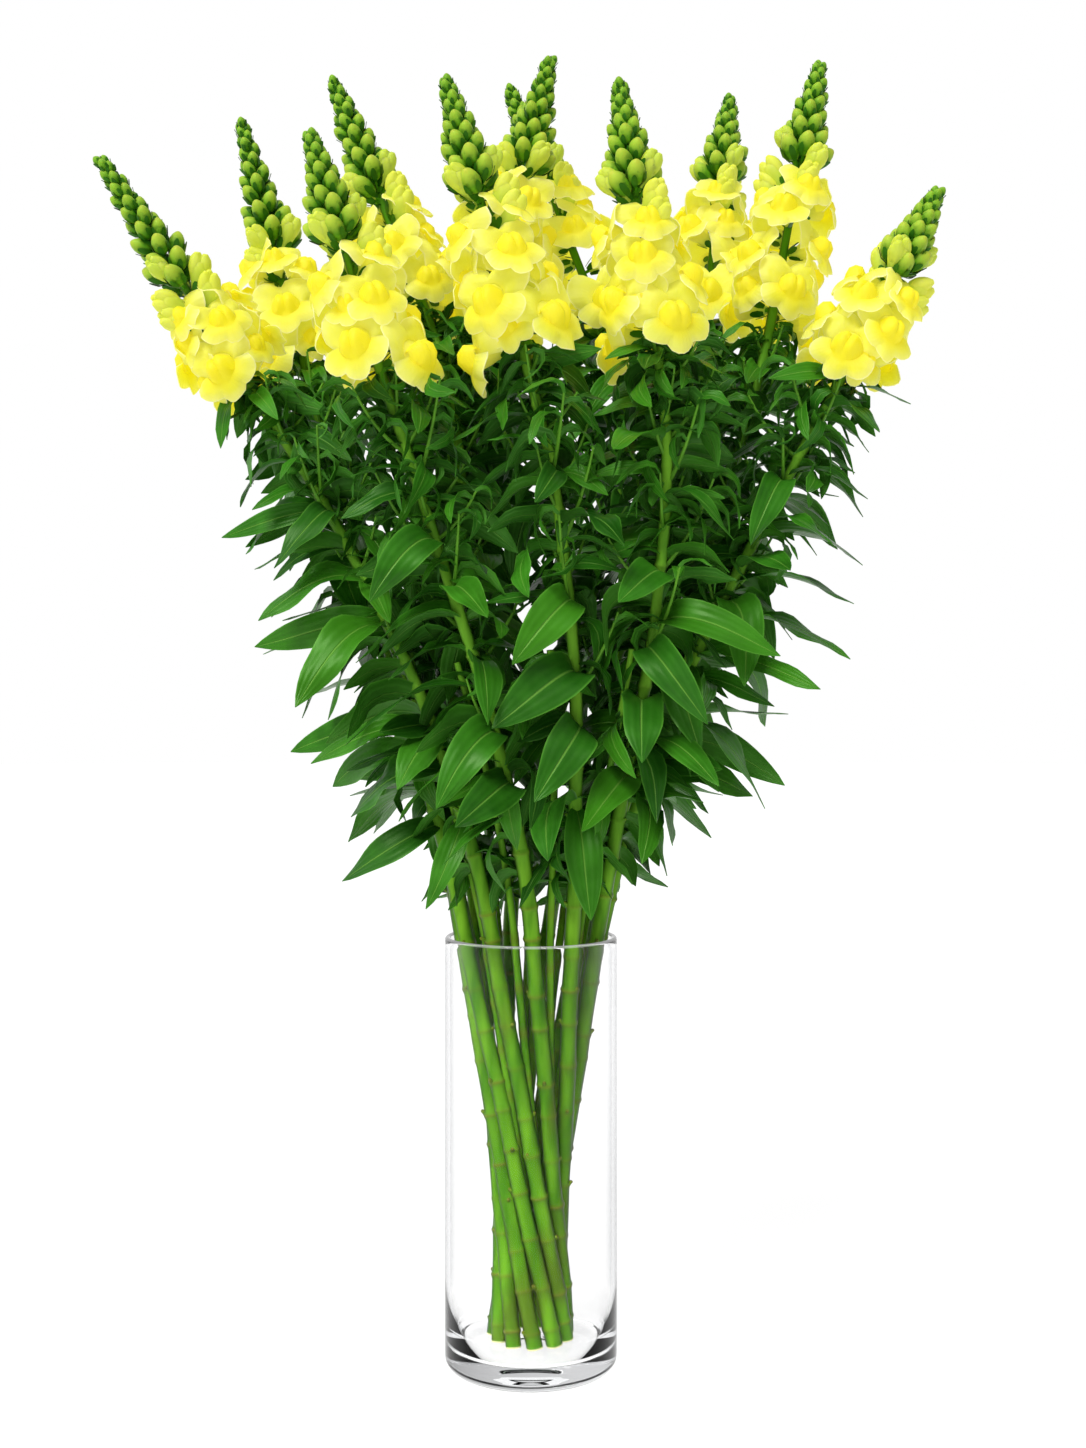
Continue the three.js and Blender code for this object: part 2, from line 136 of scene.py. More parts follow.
# Cloudy patches of two colours. Flatness is their width divided by their height.
patches, start, end = new_effect(
    "patches",
    {"Light": "Color", "Dark": "Color", "Scale": "Float", "Flatness": "Float", "Shift": "Float"},
    {"Color": "Color", "Value": "Float"},
)
place = add_node(patches, "TexCoord", {}).outputs["Object"]
squeeze = add_node(patches, "CombineXYZ", {0: 1.0, 1: 1.0, 2: start.outputs["Flatness"]}).outputs[0]
place = add_node(patches, "VectorMath", {0: place, 1: squeeze}, operation="MULTIPLY").outputs[0]
cloud = {"Vector": place, "W": start.outputs["Shift"], "Scale": start.outputs["Scale"], "Detail": 3.0}
cloud = add_node(patches, "TexNoise", cloud, noise_dimensions="4D").outputs["Fac"]
cloud = ramp(patches, cloud, 0.32, 0.68)
cloud_colour = mix(patches, cloud, start.outputs["Dark"], start.outputs["Light"])
feed(patches, end, {"Color": cloud_colour, "Value": cloud})


def add_patches(tree, scale, flatness=1.0, shift=0.0, colours=("#ffffff", "#000000")):
    """Those patches in a material, with their light and dark colours."""
    light, dark = map(colour, colours)
    inputs = {"Light": light, "Dark": dark, "Scale": scale, "Flatness": flatness, "Shift": shift}
    return add_node(tree, "Group", inputs, node_tree=patches)


def all_round(sides):
    """Evenly spaced angles that go once round."""
    return np.linspace(0, 2 * math.pi, sides, endpoint=False)


sky = bpy.data.worlds.new("sky")
sky.use_nodes = True
tree = sky.node_tree
towards = {0: add_node(tree, "TexCoord", {}).outputs["Generated"], 1: ROOM_BRIGHT_SIDE}
towards = add_node(tree, "VectorMath", towards, operation="DOT_PRODUCT").outputs["Value"]
seen = add_node(tree, "LightPath", {}).outputs["Is Camera Ray"]
room_light = reckon(tree, "MAXIMUM", ramp(tree, towards, -0.8, 0.8, *ROOM_LIGHT), seen)
feed(tree, tree.nodes["Background"], {"Color": WHITE, "Strength": room_light})
bpy.context.scene.world = sky
bpy.context.scene.view_settings.view_transform = "Standard"

lamp = bpy.data.objects.new("lamp", bpy.data.lights.new("lamp", "SUN"))
lamp.data.energy = LAMP_STRENGTH
lamp.data.angle = LAMP_SPREAD
lamp.rotation_euler = LAMP_TILT
bpy.context.scene.collection.objects.link(lamp)

white_acrylic, tree, shader = new_material("white acrylic floor")
lit_paint = {
    "Base Color": add_patches(tree, 1.5, colours=FLOOR_PAINT).outputs["Color"],
    "Roughness": 0.8,
    "Specular IOR Level": 0.1,
    "Emission Color": WHITE,
    "Emission Strength": FLOOR_GLOW,
}
feed(tree, shader, lit_paint)
angles = all_round(FLOOR_SIDES)
floor_edge = [(FLOOR_RADIUS * math.cos(a), FLOOR_RADIUS * math.sin(a), -FLOOR_DEPTH) for a in angles]
floor_mesh = bpy.data.meshes.new("floor")
floor_mesh.from_pydata(floor_edge, [], [range(len(floor_edge))])
floor_mesh.materials.append(white_acrylic)
floor = bpy.data.objects.new("floor", floor_mesh)
bpy.context.scene.collection.objects.link(floor)

# ---- Glass vase -----------------------------------------------------------------------------
# A straight mouth-blown cylinder of clear soda glass, 10 cm wide and 25 cm tall, with a rounded
# foot and a fire-polished rim. Its bore narrows towards a heavy floor, under which is a shallow
# round mark. The lamp shines through it with little loss.
VASE = SimpleNamespace(
    radius=50, height=250, wall=3, floor=13, corner=8, mark=13, rim=1.6, thicker=6, thin_from=54
)
INNER = VASE.radius - VASE.wall
NARROWING = (54, 48, 43, 38, 33, 28.5, 24.5, 21, 18, 16, 14.5)
GLASS_SIDES = 120
GLASS_TINT = colour("#bfc6d0")
GLASS_DENSITY = 2.0
# The painted shade of the glass where it is seen edge-on, near its foot and along its sides.
GLASS_EDGE_SHADE = colour("#3a4658")
# How strongly the rim glows: a painted highlight.
RIM_HIGHLIGHT_GLOW = 0.28
SHARP_EDGE = math.radians(50)


def paint(tree, name):
    """A value that the points of a piece carry."""
    return add_node(tree, "Attribute", {}, attribute_name=name).outputs["Fac"]


def times(tree, first, second):
    """The product of two values in a material."""
    return reckon(tree, "MULTIPLY", first, second)


def edge_on(tree):
    """How much a surface is seen from the side: 0 head-on and 1 at its outline."""
    return add_node(tree, "LayerWeight", {"Blend": 0.5}).outputs["Facing"]


def grid_faces(index):
    """Triangles over a grid of point numbers."""
    a, b, c, d = index[:-1, :-1], index[:-1, 1:], index[1:, 1:], index[1:, :-1]
    halves = [np.stack(corners, -1).reshape(-1, 3) for corners in ((a, b, c), (a, c, d))]
    return np.concatenate(halves)


class Skins:
    """Closed skins gathered for one mesh, in millimetres, with values painted on their points."""

    def __init__(self):
        self.points, self.faces, self.painted, self.count = [], [], [], 0

    def add(self, points, faces, painted):
        """Adds one skin, with its faces turned outwards and without those that have no area."""
        repeated = (faces == np.roll(faces, 1, axis=1)).any(axis=1)
        faces = faces[~repeated]
        p, q, r = (points[faces[:, i]] for i in range(3))
        volume = (p * np.cross(q, r)).sum()
        self.faces.append(self.count + (faces if volume > 0 else faces[:, ::-1]))
        self.points.append(points)
        self.painted.append(painted)
        self.count += len(points)

    def loft(self, rings, **painted):
        """A skin through rings of points, with both ends closed."""
        rings = np.asarray(rings, float)
        rows, columns = rings.shape[:2]
        first, last = rows * columns, rows * columns + 1
        index = np.arange(first).reshape(rows, columns)
        index = np.concatenate([index, index[:, :1]], axis=1)
        fans = [
            [[index[0, i + 1], index[0, i], first] for i in range(columns)],
            [[index[-1, i], index[-1, i + 1], last] for i in range(columns)],
        ]
        points = np.concatenate([rings.reshape(-1, 3), rings[[0, -1]].mean(axis=1)])
        faces = np.concatenate([grid_faces(index), *fans])
        values = {}
        for name, value in painted.items():
            value = np.asarray(value, float)
            value = value[:, None] if value.ndim == 1 else value
            value = np.broadcast_to(value, (rows, columns))
            values[name] = np.concatenate([value.ravel(), value[[0, -1]].mean(axis=1)])
        self.add(points, faces, values)

    def blade(self, grid, thickness, **painted):
        """A thin skin with a grid of points as its upper face and sharp edges."""
        rows, columns = grid.shape[:2]
        facing = np.cross(np.gradient(grid, axis=1), np.gradient(grid, axis=0))
        facing /= np.maximum(np.linalg.norm(facing, axis=2, keepdims=True), 1e-9)
        under = (grid - thickness * facing)[:, 1:-1]
        top = np.arange(rows * columns).reshape(rows, columns)
        below = rows * columns + np.arange(rows * (columns - 2)).reshape(rows, columns - 2)
        below = np.concatenate([top[:, :1], below, top[:, -1:]], axis=1)
        near_end = np.stack([below[0], top[0]])
        far_end = np.stack([top[-1], below[-1]])
        skins = [grid_faces(top), grid_faces(below)[:, ::-1], grid_faces(near_end), grid_faces(far_end)]
        values = {"underside": np.repeat([0.0, 1.0], [rows * columns, rows * (columns - 2)])}
        for name, value in painted.items():
            value = np.broadcast_to(np.asarray(value, float), (rows, columns))
            values[name] = np.concatenate([value.ravel(), value[:, 1:-1].ravel()])
        points = np.concatenate([grid.reshape(-1, 3), under.reshape(-1, 3)])
        self.add(points, np.concatenate(skins), values)

    def piece(self, name, material):
        """The scene object made of these skins."""
        mesh = bpy.data.meshes.new(name)
        points = np.concatenate(self.points) * MM
        mesh.from_pydata(points.tolist(), [], np.concatenate(self.faces).tolist())
        mesh.shade_smooth()
        mesh.set_sharp_from_angle(angle=SHARP_EDGE)
        for key in sorted({key for values in self.painted for key in values}):
            parts = zip(self.painted, self.points)
            values = np.concatenate([v.get(key, np.zeros(len(p))) for v, p in parts])
            layer = mesh.attributes.new(key, "FLOAT", "POINT")
            layer.data.foreach_set("value", values.astype(np.float32))
        mesh.materials.append(material)
        made = bpy.data.objects.new(name, mesh)
        bpy.context.scene.collection.objects.link(made)
        return made


def arc(middle, radius, first, last, steps):
    """Points of a round corner, from one angle in degrees to another."""
    angles = np.radians(np.linspace(first, last, steps))
    return [(middle[0] + radius * math.cos(a), middle[1] + radius * math.sin(a)) for a in angles]


def bore_radius(z):
    """The vase inside: a straight bore that narrows towards its floor."""
    return INNER - VASE.thicker * max(0, (VASE.thin_from - z) / (VASE.thin_from - VASE.floor)) ** 3


glass_profile = [
    (0.3, 0.9),
    (0.6 * VASE.mark, 0.8),
    (0.9 * VASE.mark, 0.3),
    (VASE.mark, 0),
    (VASE.mark + 12, 0),
    (VASE.radius - VASE.corner - 4, 0),
    *arc((VASE.radius - VASE.corner, VASE.corner), VASE.corner, -90, 0, 9),
    *[(VASE.radius, z) for z in np.linspace(20, VASE.height - 6, 12)],
    *arc((VASE.radius - VASE.rim, VASE.height - VASE.rim), VASE.rim, 0, 180, 9),
    (INNER, VASE.height - 5),
    *[(INNER, z) for z in np.linspace(VASE.height - 12, 74, 8)],
    *[(bore_radius(z), z) for z in NARROWING],
    (INNER - VASE.thicker - 0.8, VASE.floor + 0.5),
    (INNER - VASE.thicker - 2.2, VASE.floor + 0.1),
    (INNER - VASE.thicker - 5, VASE.floor - 0.1),
    (16, VASE.floor - 0.3),
    (0.3, VASE.floor - 0.4),
]
glass_angles = all_round(GLASS_SIDES)
glass_rings = [[(r * math.cos(a), r * math.sin(a), z) for a in glass_angles] for r, z in glass_profile]

# Painted on the glass: where the bore nears the floor and its sides, which get a painted shade where they
# are seen edge-on, and its rim, which gets a painted highlight.
bore = [30 < r <= INNER and z > VASE.floor - 0.5 for r, z in glass_profile]
thick = [b * np.interp(z, (16, 44), (1, 0)) for b, (r, z) in zip(bore, glass_profile)]
wall = [r > INNER - 0.1 and 20 <= z <= VASE.height - 5 for r, z in glass_profile]
rim = [z > VASE.height - 1.5 for r, z in glass_profile]
glass_skins = Skins()
glass_skins.loft(glass_rings, thick=thick, wall=wall, rim=rim)

clear_glass, tree, shader = new_material("clear soda glass")
edge = edge_on(tree)
# Painted shade: the glass is tinted dark where it is seen edge-on near the foot and along the sides.
foot_edge_shade = times(tree, ramp(tree, edge, 0.45, 0.9, 0, 0.25), paint(tree, "thick"))
wall_edge_shade = times(tree, ramp(tree, edge, 0.6, 0.92, 0, 0.75), paint(tree, "wall"))
in_shadow = add_node(tree, "LightPath", {}).outputs["Is Shadow Ray"]
smears = add_patches(tree, 9.0, 0.4).outputs["Value"]
polished_glass = {
    "Base Color": mix(tree, reckon(tree, "MAXIMUM", foot_edge_shade, wall_edge_shade), WHITE, GLASS_EDGE_SHADE),
    "Roughness": ramp(tree, smears, 0, 1, 0.0, 0.02),
    "IOR": 1.5,
    "Transmission Weight": 1.0,
    "Specular Tint": (0.1, 0.1, 0.1, 1),
    # Painted highlight: the rim glows white.
    "Emission Color": mix(tree, paint(tree, "rim"), BLACK, WHITE),
    "Emission Strength": RIM_HIGHLIGHT_GLOW,
    "Alpha": ramp(tree, in_shadow, 0, 1, 1, 0.1),
}
feed(tree, shader, polished_glass)
absorb = add_node(tree, "VolumeAbsorption", {"Color": GLASS_TINT, "Density": GLASS_DENSITY})
feed(tree, tree.nodes["Material Output"], {"Volume": absorb.outputs["Volume"]})

vase = glass_skins.piece("vase", clear_glass)
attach(vase, "root")
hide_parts("glass_vase")

# ---- Cut stems ------------------------------------------------------------------------------
# Eleven green snapdragon stems, cut off squarely and stripped of leaves where they stand in the
# vase, cross in a spiral and spread above the rim. Their joints are swollen, with the scars and
# snags of pulled leaves. A thin side shoot leaves each near its foot and runs up inside the ring.
FOOT_RING, RIM_RING, FOOT_HEIGHT = 22, 41, VASE.floor + 1.4
TWIST = math.radians(102.6)
FIRST_RIM_ANGLE = math.radians(10)
GOLDEN_ANGLE = math.radians(137.5)

# How stiffly a stem keeps its direction where its curve starts and ends, and its radius at the
# foot, the rim, the lowest flower and the tip.
STIFFNESS = 0.36
STEM_RADII, STEM_SIDES = (4.3, 4.0, 3.0, 1.7), 12
STEM_SWAY, STEM_BUMPS, STEM_RIBS = 0.35, 0.12, 0.035
PLUMP_FOOT = 0.4
JOINTS = SimpleNamespace(spacing=25, shift=(8, 20), swelling=(0.9, 0.3), reach=1.6)
NEAR_JOINT = np.array([-2.6, -1.2, -0.4, 0.4, 1.2, 2.6])
HIGHEST_SNAG = 1.3
SNAG_STEPS, SNAG_RADII, SNAG_WEAR = (0, 0.5, 0.85, 1), (1.7, 1.2, 1.0, 0.6), (0.2, 0.3, 0.9, 1.0)
SUNK = 0.6
STEM_GREENS = ("#86c42e", "#35740f")
SIDE_SHOOT = SimpleNamespace(
    start=0.04, clear=0.2, end=1.5, foot_ring=13, rim_ring=35, radii=(3.0, 2.0), rings=66, sides=8
)

# In their order round the rim, clockwise from the right: number, tip of the spike, place of its
# lowest flower, length of the spike still in green bud, and how many flowers are open.
STEM_LIST = [
    (11, (224, -60, 666), (176, -46, 572), 52, 7),
    (8, (48, -85, 718), (69, -75, 582), 64, 9),
    (5, (-45, -85, 720), (-4, -75, 578), 66, 9),
    (3, (-117, -95, 688), (-80, -80, 564), 62, 8),
    (1, (-241, -40, 690), (-163, -20, 570), 88, 6),
    (2, (-178, 60, 740), (-139, 50, 594), 86, 7),
    (4, (-117, 20, 752), (-62, 10, 615), 78, 7),
    (7, (11, 60, 778), (-23, 70, 632), 72, 8),
    (6, (-14, 120, 778), (43, 100, 628), 72, 8),
    (9, (125, 100, 766), (109, 75, 627), 62, 8),
    (10, (169, 10, 758), (139, 5, 603), 66, 9),
]


def draw(stem, piece, use):
    """The same number from 0 to 1 every time for the same stem, piece and use. Each purpose has
    a use number of its own."""
    h = (stem * 7919 + piece * 104729 + use * 1299709 + 12345) & 0xFFFFFFFF
    h = ((h ^ (h >> 15)) * 0x2C1B3C6D) & 0xFFFFFFFF
    h = ((h ^ (h >> 12)) * 0x297A2D39) & 0xFFFFFFFF
    return ((h ^ (h >> 15)) & 0xFFFFFFFF) / 4294967296


def between(low, high, share):
    """The value that lies this share of the way from low to high."""
    return low + (high - low) * share


def draws_for(stem, piece):
    """The draws of one piece of a stem, as a function of low, high and use."""
    return lambda low, high, use: between(low, high, draw(stem.number, piece, use))


def unit(v):
    """The same direction with length 1."""
    return v / np.linalg.norm(v)


def level(azimuth):
    """A level direction."""
    return np.array([math.cos(azimuth), math.sin(azimuth), 0.0])


UP = np.array([0.0, 0.0, 1.0])


class Stem:
    """A stem's centre line: t is 0 to 1 in the vase, to 2 through the leaves, to 3 up the spike."""

    def __init__(self, order, number, tip, lowest, buds, flowers):
        self.number, self.buds, self.flowers = number, buds, flowers
        self.label = f"{number:02d}"
        self.rim_angle = FIRST_RIM_ANGLE - order * 2 * math.pi / len(STEM_LIST)
        self.foot = FOOT_RING * level(self.rim_angle + TWIST) + FOOT_HEIGHT * UP
        self.rim = RIM_RING * level(self.rim_angle) + VASE.height * UP
        self.lowest, self.tip = np.array(lowest, float), np.array(tip, float)
        self.rise = unit(self.rim - self.foot)
        self.spike = unit(self.tip - self.lowest)
        self.spike_length = np.linalg.norm(self.tip - self.lowest)
        pull = STIFFNESS * np.linalg.norm(self.rim - self.lowest)
        handles = [self.rim + pull * self.rise, self.lowest - pull * self.spike]
        self.bend = np.array([self.rim, *handles, self.lowest])

    def point(self, t):
        """A point of the centre line."""
        if t <= 1:
            return self.foot + t * (self.rim - self.foot)
        if t < 2:
            u = t - 1
            return np.array([(1 - u) ** 3, 3 * u * (1 - u) ** 2, 3 * u * u * (1 - u), u**3]) @ self.bend
        return self.lowest + (t - 2) * (self.tip - self.lowest)

    def direction(self, t):
        """The way the stem grows there."""
        if t <= 1:
            return self.rise
        if t < 2:
            u = t - 1
            return unit(np.array([(1 - u) ** 2, 2 * u * (1 - u), u * u]) @ np.diff(self.bend, axis=0))
        return self.spike

    def radius(self, t):
        """The plain thickness of the stem there, from its centre line."""
        return float(np.interp(t, (0, 1, 2, 3), STEM_RADII))

    def below_tip(self, distance):
        """The t of the place on the spike this far below its tip."""
        return 3 - distance / self.spike_length


def ring(middle, along, radii, sides):
    """Points round a place, square to a direction. radii is one radius, or one for each point."""
    across = unit(np.array([1.0, 0, 0]) - along[0] * along)
    back = np.cross(along, across)
    angles = all_round(sides)[:, None]
    return middle + np.reshape(radii, (-1, 1)) * (across * np.cos(angles) + back * np.sin(angles))


def stalk_skins(stem):
    """One bare stem from its cut end to the tip of its spike."""
    skins = Skins()
    fine = np.linspace(0, 3, 601)
    line = np.array([stem.point(t) for t in fine])
    lengths = np.concatenate([[0], np.cumsum(np.linalg.norm(np.diff(line, axis=0), axis=1))])
    leafy = np.interp(2, fine, lengths)
    joints = [n * JOINTS.spacing + between(*JOINTS.shift, draw(stem.number, n, 21)) for n in range(40)]
    joints = [j for j in joints if j < leafy]
    even = np.arange(0, lengths[-1] - 4, 9)
    stations = np.concatenate([[0.7, 1.2], even, *[j + NEAR_JOINT for j in joints], [lengths[-1] - 2]])
    stations = np.unique(stations[(stations >= 0) & (stations < lengths[-1])].round(2))
    plain = [draw(stem.number, n, 29) for n in range(len(joints))]
    sway = 2 * math.pi * draw(stem.number, 0, 22)
    rings, marks, tall = [], [], []
    for s in stations:
        t = float(np.interp(s, lengths, fine))
        middle = stem.point(t) + STEM_SWAY * math.sin(s / 19 + sway) * level(sway)
        gap, nearest = min((abs(s - j), n) for n, j in enumerate(joints))
        swelling = between(*JOINTS.swelling, plain[nearest]) * math.exp(-((gap / JOINTS.reach) ** 2))
        swelling += STEM_BUMPS * math.sin(s / 7 + sway)
        swelling += PLUMP_FOOT * min(1, max(0, 3 * (1.5 - t)))
        ribs = 1 + STEM_RIBS * np.cos(4 * all_round(STEM_SIDES) + s / 60 + sway)
        rings.append(ring(middle, stem.direction(t), (stem.radius(t) + swelling) * ribs, STEM_SIDES))
        marks.append((1 - 0.8 * plain[nearest]) * math.exp(-(gap**2)))
        tall.append(middle[2])
    skins.loft(rings, joint=marks, cut=stations < 1, height=tall)
    for n, j in enumerate(joints):
        t = float(np.interp(j, lengths, fine))
        if t < HIGHEST_SNAG:
            add_snag(skins, stem, t, n)
    return skins


def add_side_shoot(skins, stem):
    """A thin shoot that leaves the stem near its foot and then runs up between it and the next."""
    angle = stem.rim_angle - math.pi / len(STEM_LIST)
    foot = SIDE_SHOOT.foot_ring * level(angle + TWIST) + FOOT_HEIGHT * UP
    rim = SIDE_SHOOT.rim_ring * level(angle) + VASE.height * UP
    rings, marks, tall = [], [], []
    for i, t in enumerate(np.linspace(SIDE_SHOOT.start, SIDE_SHOOT.end, SIDE_SHOOT.rings)):
        middle = foot + t * (rim - foot) if t < 1 else rim + stem.point(t) - stem.rim
        joined = float(np.interp(t, (SIDE_SHOOT.start, SIDE_SHOOT.clear), (1, 0)))
        middle = joined * stem.point(t) + (1 - joined) * middle
        joint = 1.0 if i % 5 == stem.number % 5 else 0.0
        radius = between(*SIDE_SHOOT.radii, t / SIDE_SHOOT.end) + 0.3 * joint
        rings.append(ring(middle, stem.direction(t), radius, SIDE_SHOOT.sides))
        marks.append(0.6 * joint)
        tall.append(middle[2])
    skins.loft(rings, joint=marks, height=tall)


def add_snag(skins, stem, t, n):
    """The short stump of a leaf that was pulled off at a joint."""
    random = draws_for(stem, n)
    outward = level(stem.number + n * 2.4 + random(-0.5, 0.5, 23))
    way = unit(outward + random(0.3, 1.1, 24) * stem.direction(t))
    length = SUNK + random(0.8, 4.2, 25)
    root = stem.point(t) + (stem.radius(t) - SUNK) * outward
    rings = [ring(root + length * u * way, way, r, 6) for u, r in zip(SNAG_STEPS, SNAG_RADII)]
    skins.loft(rings, joint=SNAG_WEAR, height=root[2])


def tinted(tree, shade, *tints):
    """A shade with colours laid over it. Each is a web code, the value that it follows, where that
    value brings it in and where it is strongest, and how strong it is there."""
    for code, value, first, strongest, share in tints:
        shade = mix(tree, ramp(tree, value, first, strongest, 0, share), shade, colour(code))
    return shade


def relief(tree, height, strength, depth):
    """The slopes of a fine relief, its depth in millimetres."""
    inputs = {"Height": height, "Strength": strength, "Distance": MM * depth}
    return add_node(tree, "Bump", inputs).outputs["Normal"]


stem_green, tree, shader = new_material("living green stem")
streaks = add_patches(tree, 120.0, 0.12, colours=STEM_GREENS)
tall = paint(tree, "height")
bruises = add_patches(tree, 34.0, 0.4, 4.0).outputs["Value"]
bruises = times(tree, ramp(tree, bruises, 0.62, 0.95), ramp(tree, tall, 300, 220))
worn = times(tree, paint(tree, "joint"), ramp(tree, tall, 320, 240, 0.2, 0.8))
# Painted shade: the stems are darker low down, most deep in the vase, and towards their outlines, where
# they are seen edge-on. Painted light: they are lighter from the rim up among the leaves. They are also
# darker green up under the flowers, with brown bruises low down, worn joints and pale cut ends.
shade = tinted(
    tree,
    streaks.outputs["Color"],
    ("#3d7810", tall, 330, 160, 0.5),
    ("#74b638", tall, 240, 320, 0.5),
    ("#4c8c1c", tall, 570, 650, 1),
    ("#123404", edge_on(tree), 0.2, 0.85, 0.85),
    ("#504c1c", bruises, 0, 1, 0.5),
    ("#6f6a28", worn, 0, 1, 1),
    ("#dfe0a4", paint(tree, "cut"), 0, 1, 1),
)
stem_skin = {
    "Base Color": shade,
    "Roughness": ramp(tree, streaks.outputs["Value"], 0, 1, 0.36, 0.5),
    "Specular IOR Level": 0.3,
    "Specular Tint": (0.6, 1, 0.15, 1),
    "Normal": relief(tree, streaks.outputs["Value"], 0.25, 0.4),
}
feed(tree, shader, stem_skin)

stems = [Stem(order, *row) for order, row in enumerate(STEM_LIST)]
for stem in stems:
    skins = stalk_skins(stem)
    add_side_shoot(skins, stem)
    stalk = skins.piece("stalk_" + stem.label, stem_green)
    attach(stalk, "root")
    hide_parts("leafy_stem_" + stem.label)

# ---- Open flowers ---------------------------------------------------------------------------
# Each flower is a short tube that opens into two lips of thin soft petal. The upper lip has two
# broad lobes bent back. The lower one bulges into a deep yellow furrowed palate, which shuts the
# mouth, and ends in three lobes. The flowers grow round the spike in a golden-angle spiral.

# The room kept between pieces, and how far from a piece others can touch it.
CLEARANCE, FAR = 0.8, 25

# How far the lowest flower is above the foot of the spike and the highest below its green part,
# their sizes and how many degrees they face upwards, from the lowest to the highest, how often a
# place is tried for each, and after how many tries it faces up more.
FLOWERS = SimpleNamespace(lowest=3, highest=23, sizes=(1.06, 0.86), rise=(2, 26), tries=15, late=8)
SMALL = SimpleNamespace(count=6, lowest=8, highest=16, sizes=(0.72, 0.88), rise=(0, 34), tries=30)
TIGHTEST = 7.0

PETAL = 0.45
PETAL_YELLOWS = ("#f5f068", "#eae640")
# The petals' painted glow, and the share by which their own colour is darkened to make room for it.
PETAL_PAINTED_GLOW, PETAL_SHADE = 0.26, 0.25
TUBE_OUTS = (4.6, 6, 9, 13, 17, 20.5, 22.5)
TUBE_RADII = (2.2, 3.2, 4.1, 5.4, 7.0, 7.9, 6.0)
TUBE_POUCH = 0.7
LIP_STEPS = np.array([0, 0.2, 0.4, 0.6, 0.78, 0.92, 1.0])[:, None]
LIP_WAVE = 0.025

# The lobes of the lips: direction in degrees, distance from the flower's axis, and radius. Those
# of the upper lip point anywhere in a range.
UPPER_LOBES = (((-52, -42), 12.8, 10.2), ((42, 52), 12.8, 10.2))
LOWER_LOBES = ((-55, 12.8, 8.3), (0, 14.0, 7.4), (55, 12.8, 8.3))

# The balls that stand for a flower of size 1: how far out, in which direction, how far from the
# flower's axis, and radius.
FLOWER_REACH = (
    (12, 0, 0, 5),
    (24, 0, 0, 9),
    (21, 40, 14, 6),
    (21, 320, 14, 6),
    (25, 124, 12, 6),
    (25, 236, 12, 6),
    (25, 180, 13, 6),
)


class Neighbours:
    """Balls that stand for the pieces already in place, each with an owner."""

    def __init__(self):
        self.centres, self.radii, self.owners = np.empty((0, 3)), np.empty(0), np.empty(0, "U12")

    def put(self, centres, radii, owner):
        """Adds the balls of a piece."""
        self.centres = np.concatenate([self.centres, centres])
        self.radii = np.concatenate([self.radii, radii])
        self.owners = np.concatenate([self.owners, [owner] * len(radii)])

    def overlap(self, centres, radii, may_touch):
        """How deep new balls would sit in those in place. Below zero, they are clear of them."""
        low, high = centres.min(axis=0) - FAR, centres.max(axis=0) + FAR
        counts = ((self.centres > low) & (self.centres < high)).all(axis=1)
        counts[counts] = ~np.isin(self.owners[counts], may_touch)
        apart = np.linalg.norm(centres[:, None] - self.centres[None, counts], axis=2)
        return (radii[:, None] + self.radii[None, counts] + CLEARANCE - apart).max(initial=-FAR)


def swing(attempt):
    """To either side in turn: 0, 1, -1, 2, -2 and so on."""
    return (1 if attempt % 2 else -1) * math.ceil(attempt / 2)


def spike_azimuth(stem, step):
    """The direction of a step of the spiral in which flowers and buds grow round a spike."""
    return stem.number * 1.9 + step * GOLDEN_ANGLE


def growth_frame(stem, t, azimuth, elevation, size=1.0):
    """A frame that grows out of a stem: out is away from it, up along it, side across."""
    along = stem.direction(t)
    square = unit(level(azimuth) - (level(azimuth) @ along) * along)
    out = math.cos(elevation) * square + math.sin(elevation) * along
    up = math.cos(elevation) * along - math.sin(elevation) * square
    axes = np.array([np.cross(out, up), up, out])
    return SimpleNamespace(at=stem.point(t), axes=axes, size=size, radius=stem.radius(t))


def place_in(grown, points):
    """Points given as across, up and out of a growth frame, in the bunch."""
    return grown.at + (grown.size * np.asarray(points, float)) @ grown.axes


neighbours = Neighbours()
for stem in stems:
    for k in range(50, 150):
        owner = f"stem{stem.number}" if k < 100 else f"spike{stem.number}"
        neighbours.put([stem.point(0.02 * k)], [stem.radius(0.02 * k)], owner)


def polar(distance, angles, outs):
    """Points at a distance from a growth frame's axis and at angles from its up, as across, up
    and out."""
    return np.stack(np.broadcast_arrays(distance * np.sin(angles), distance * np.cos(angles), outs), -1)


def flower_balls(grown):
    """The balls that stand for a flower."""
    out, angles, distance, radii = np.array(FLOWER_REACH, float).T
    return place_in(grown, polar(distance, np.radians(angles), out)), radii * grown.size


def place_flowers(stem):
    """The growth frames of a spike's open flowers. The high ones face upwards a little."""
    made = []
    owner = f"flowers{stem.number}"
    for k in range(stem.flowers):
        share = k / (stem.flowers - 1)
        t = stem.below_tip(between(stem.spike_length - FLOWERS.lowest, stem.buds + FLOWERS.highest, share))
        size = between(*FLOWERS.sizes, share) * between(0.95, 1.05, draw(stem.number, k, 1))
        azimuth = spike_azimuth(stem, k) + between(-0.15, 0.15, draw(stem.number, k, 2))
        for attempt in range(FLOWERS.tries):
            elevation = math.radians(between(*FLOWERS.rise, share)) + 0.25 * (attempt > FLOWERS.late)
            grown = growth_frame(stem, t, azimuth + 0.14 * swing(attempt), elevation, size)
            centres, radii = flower_balls(grown)
            if neighbours.overlap(centres, radii, [owner, f"spike{stem.number}"]) < 0:
                neighbours.put(centres, radii, owner)
                made.append(grown)
                break
    return made


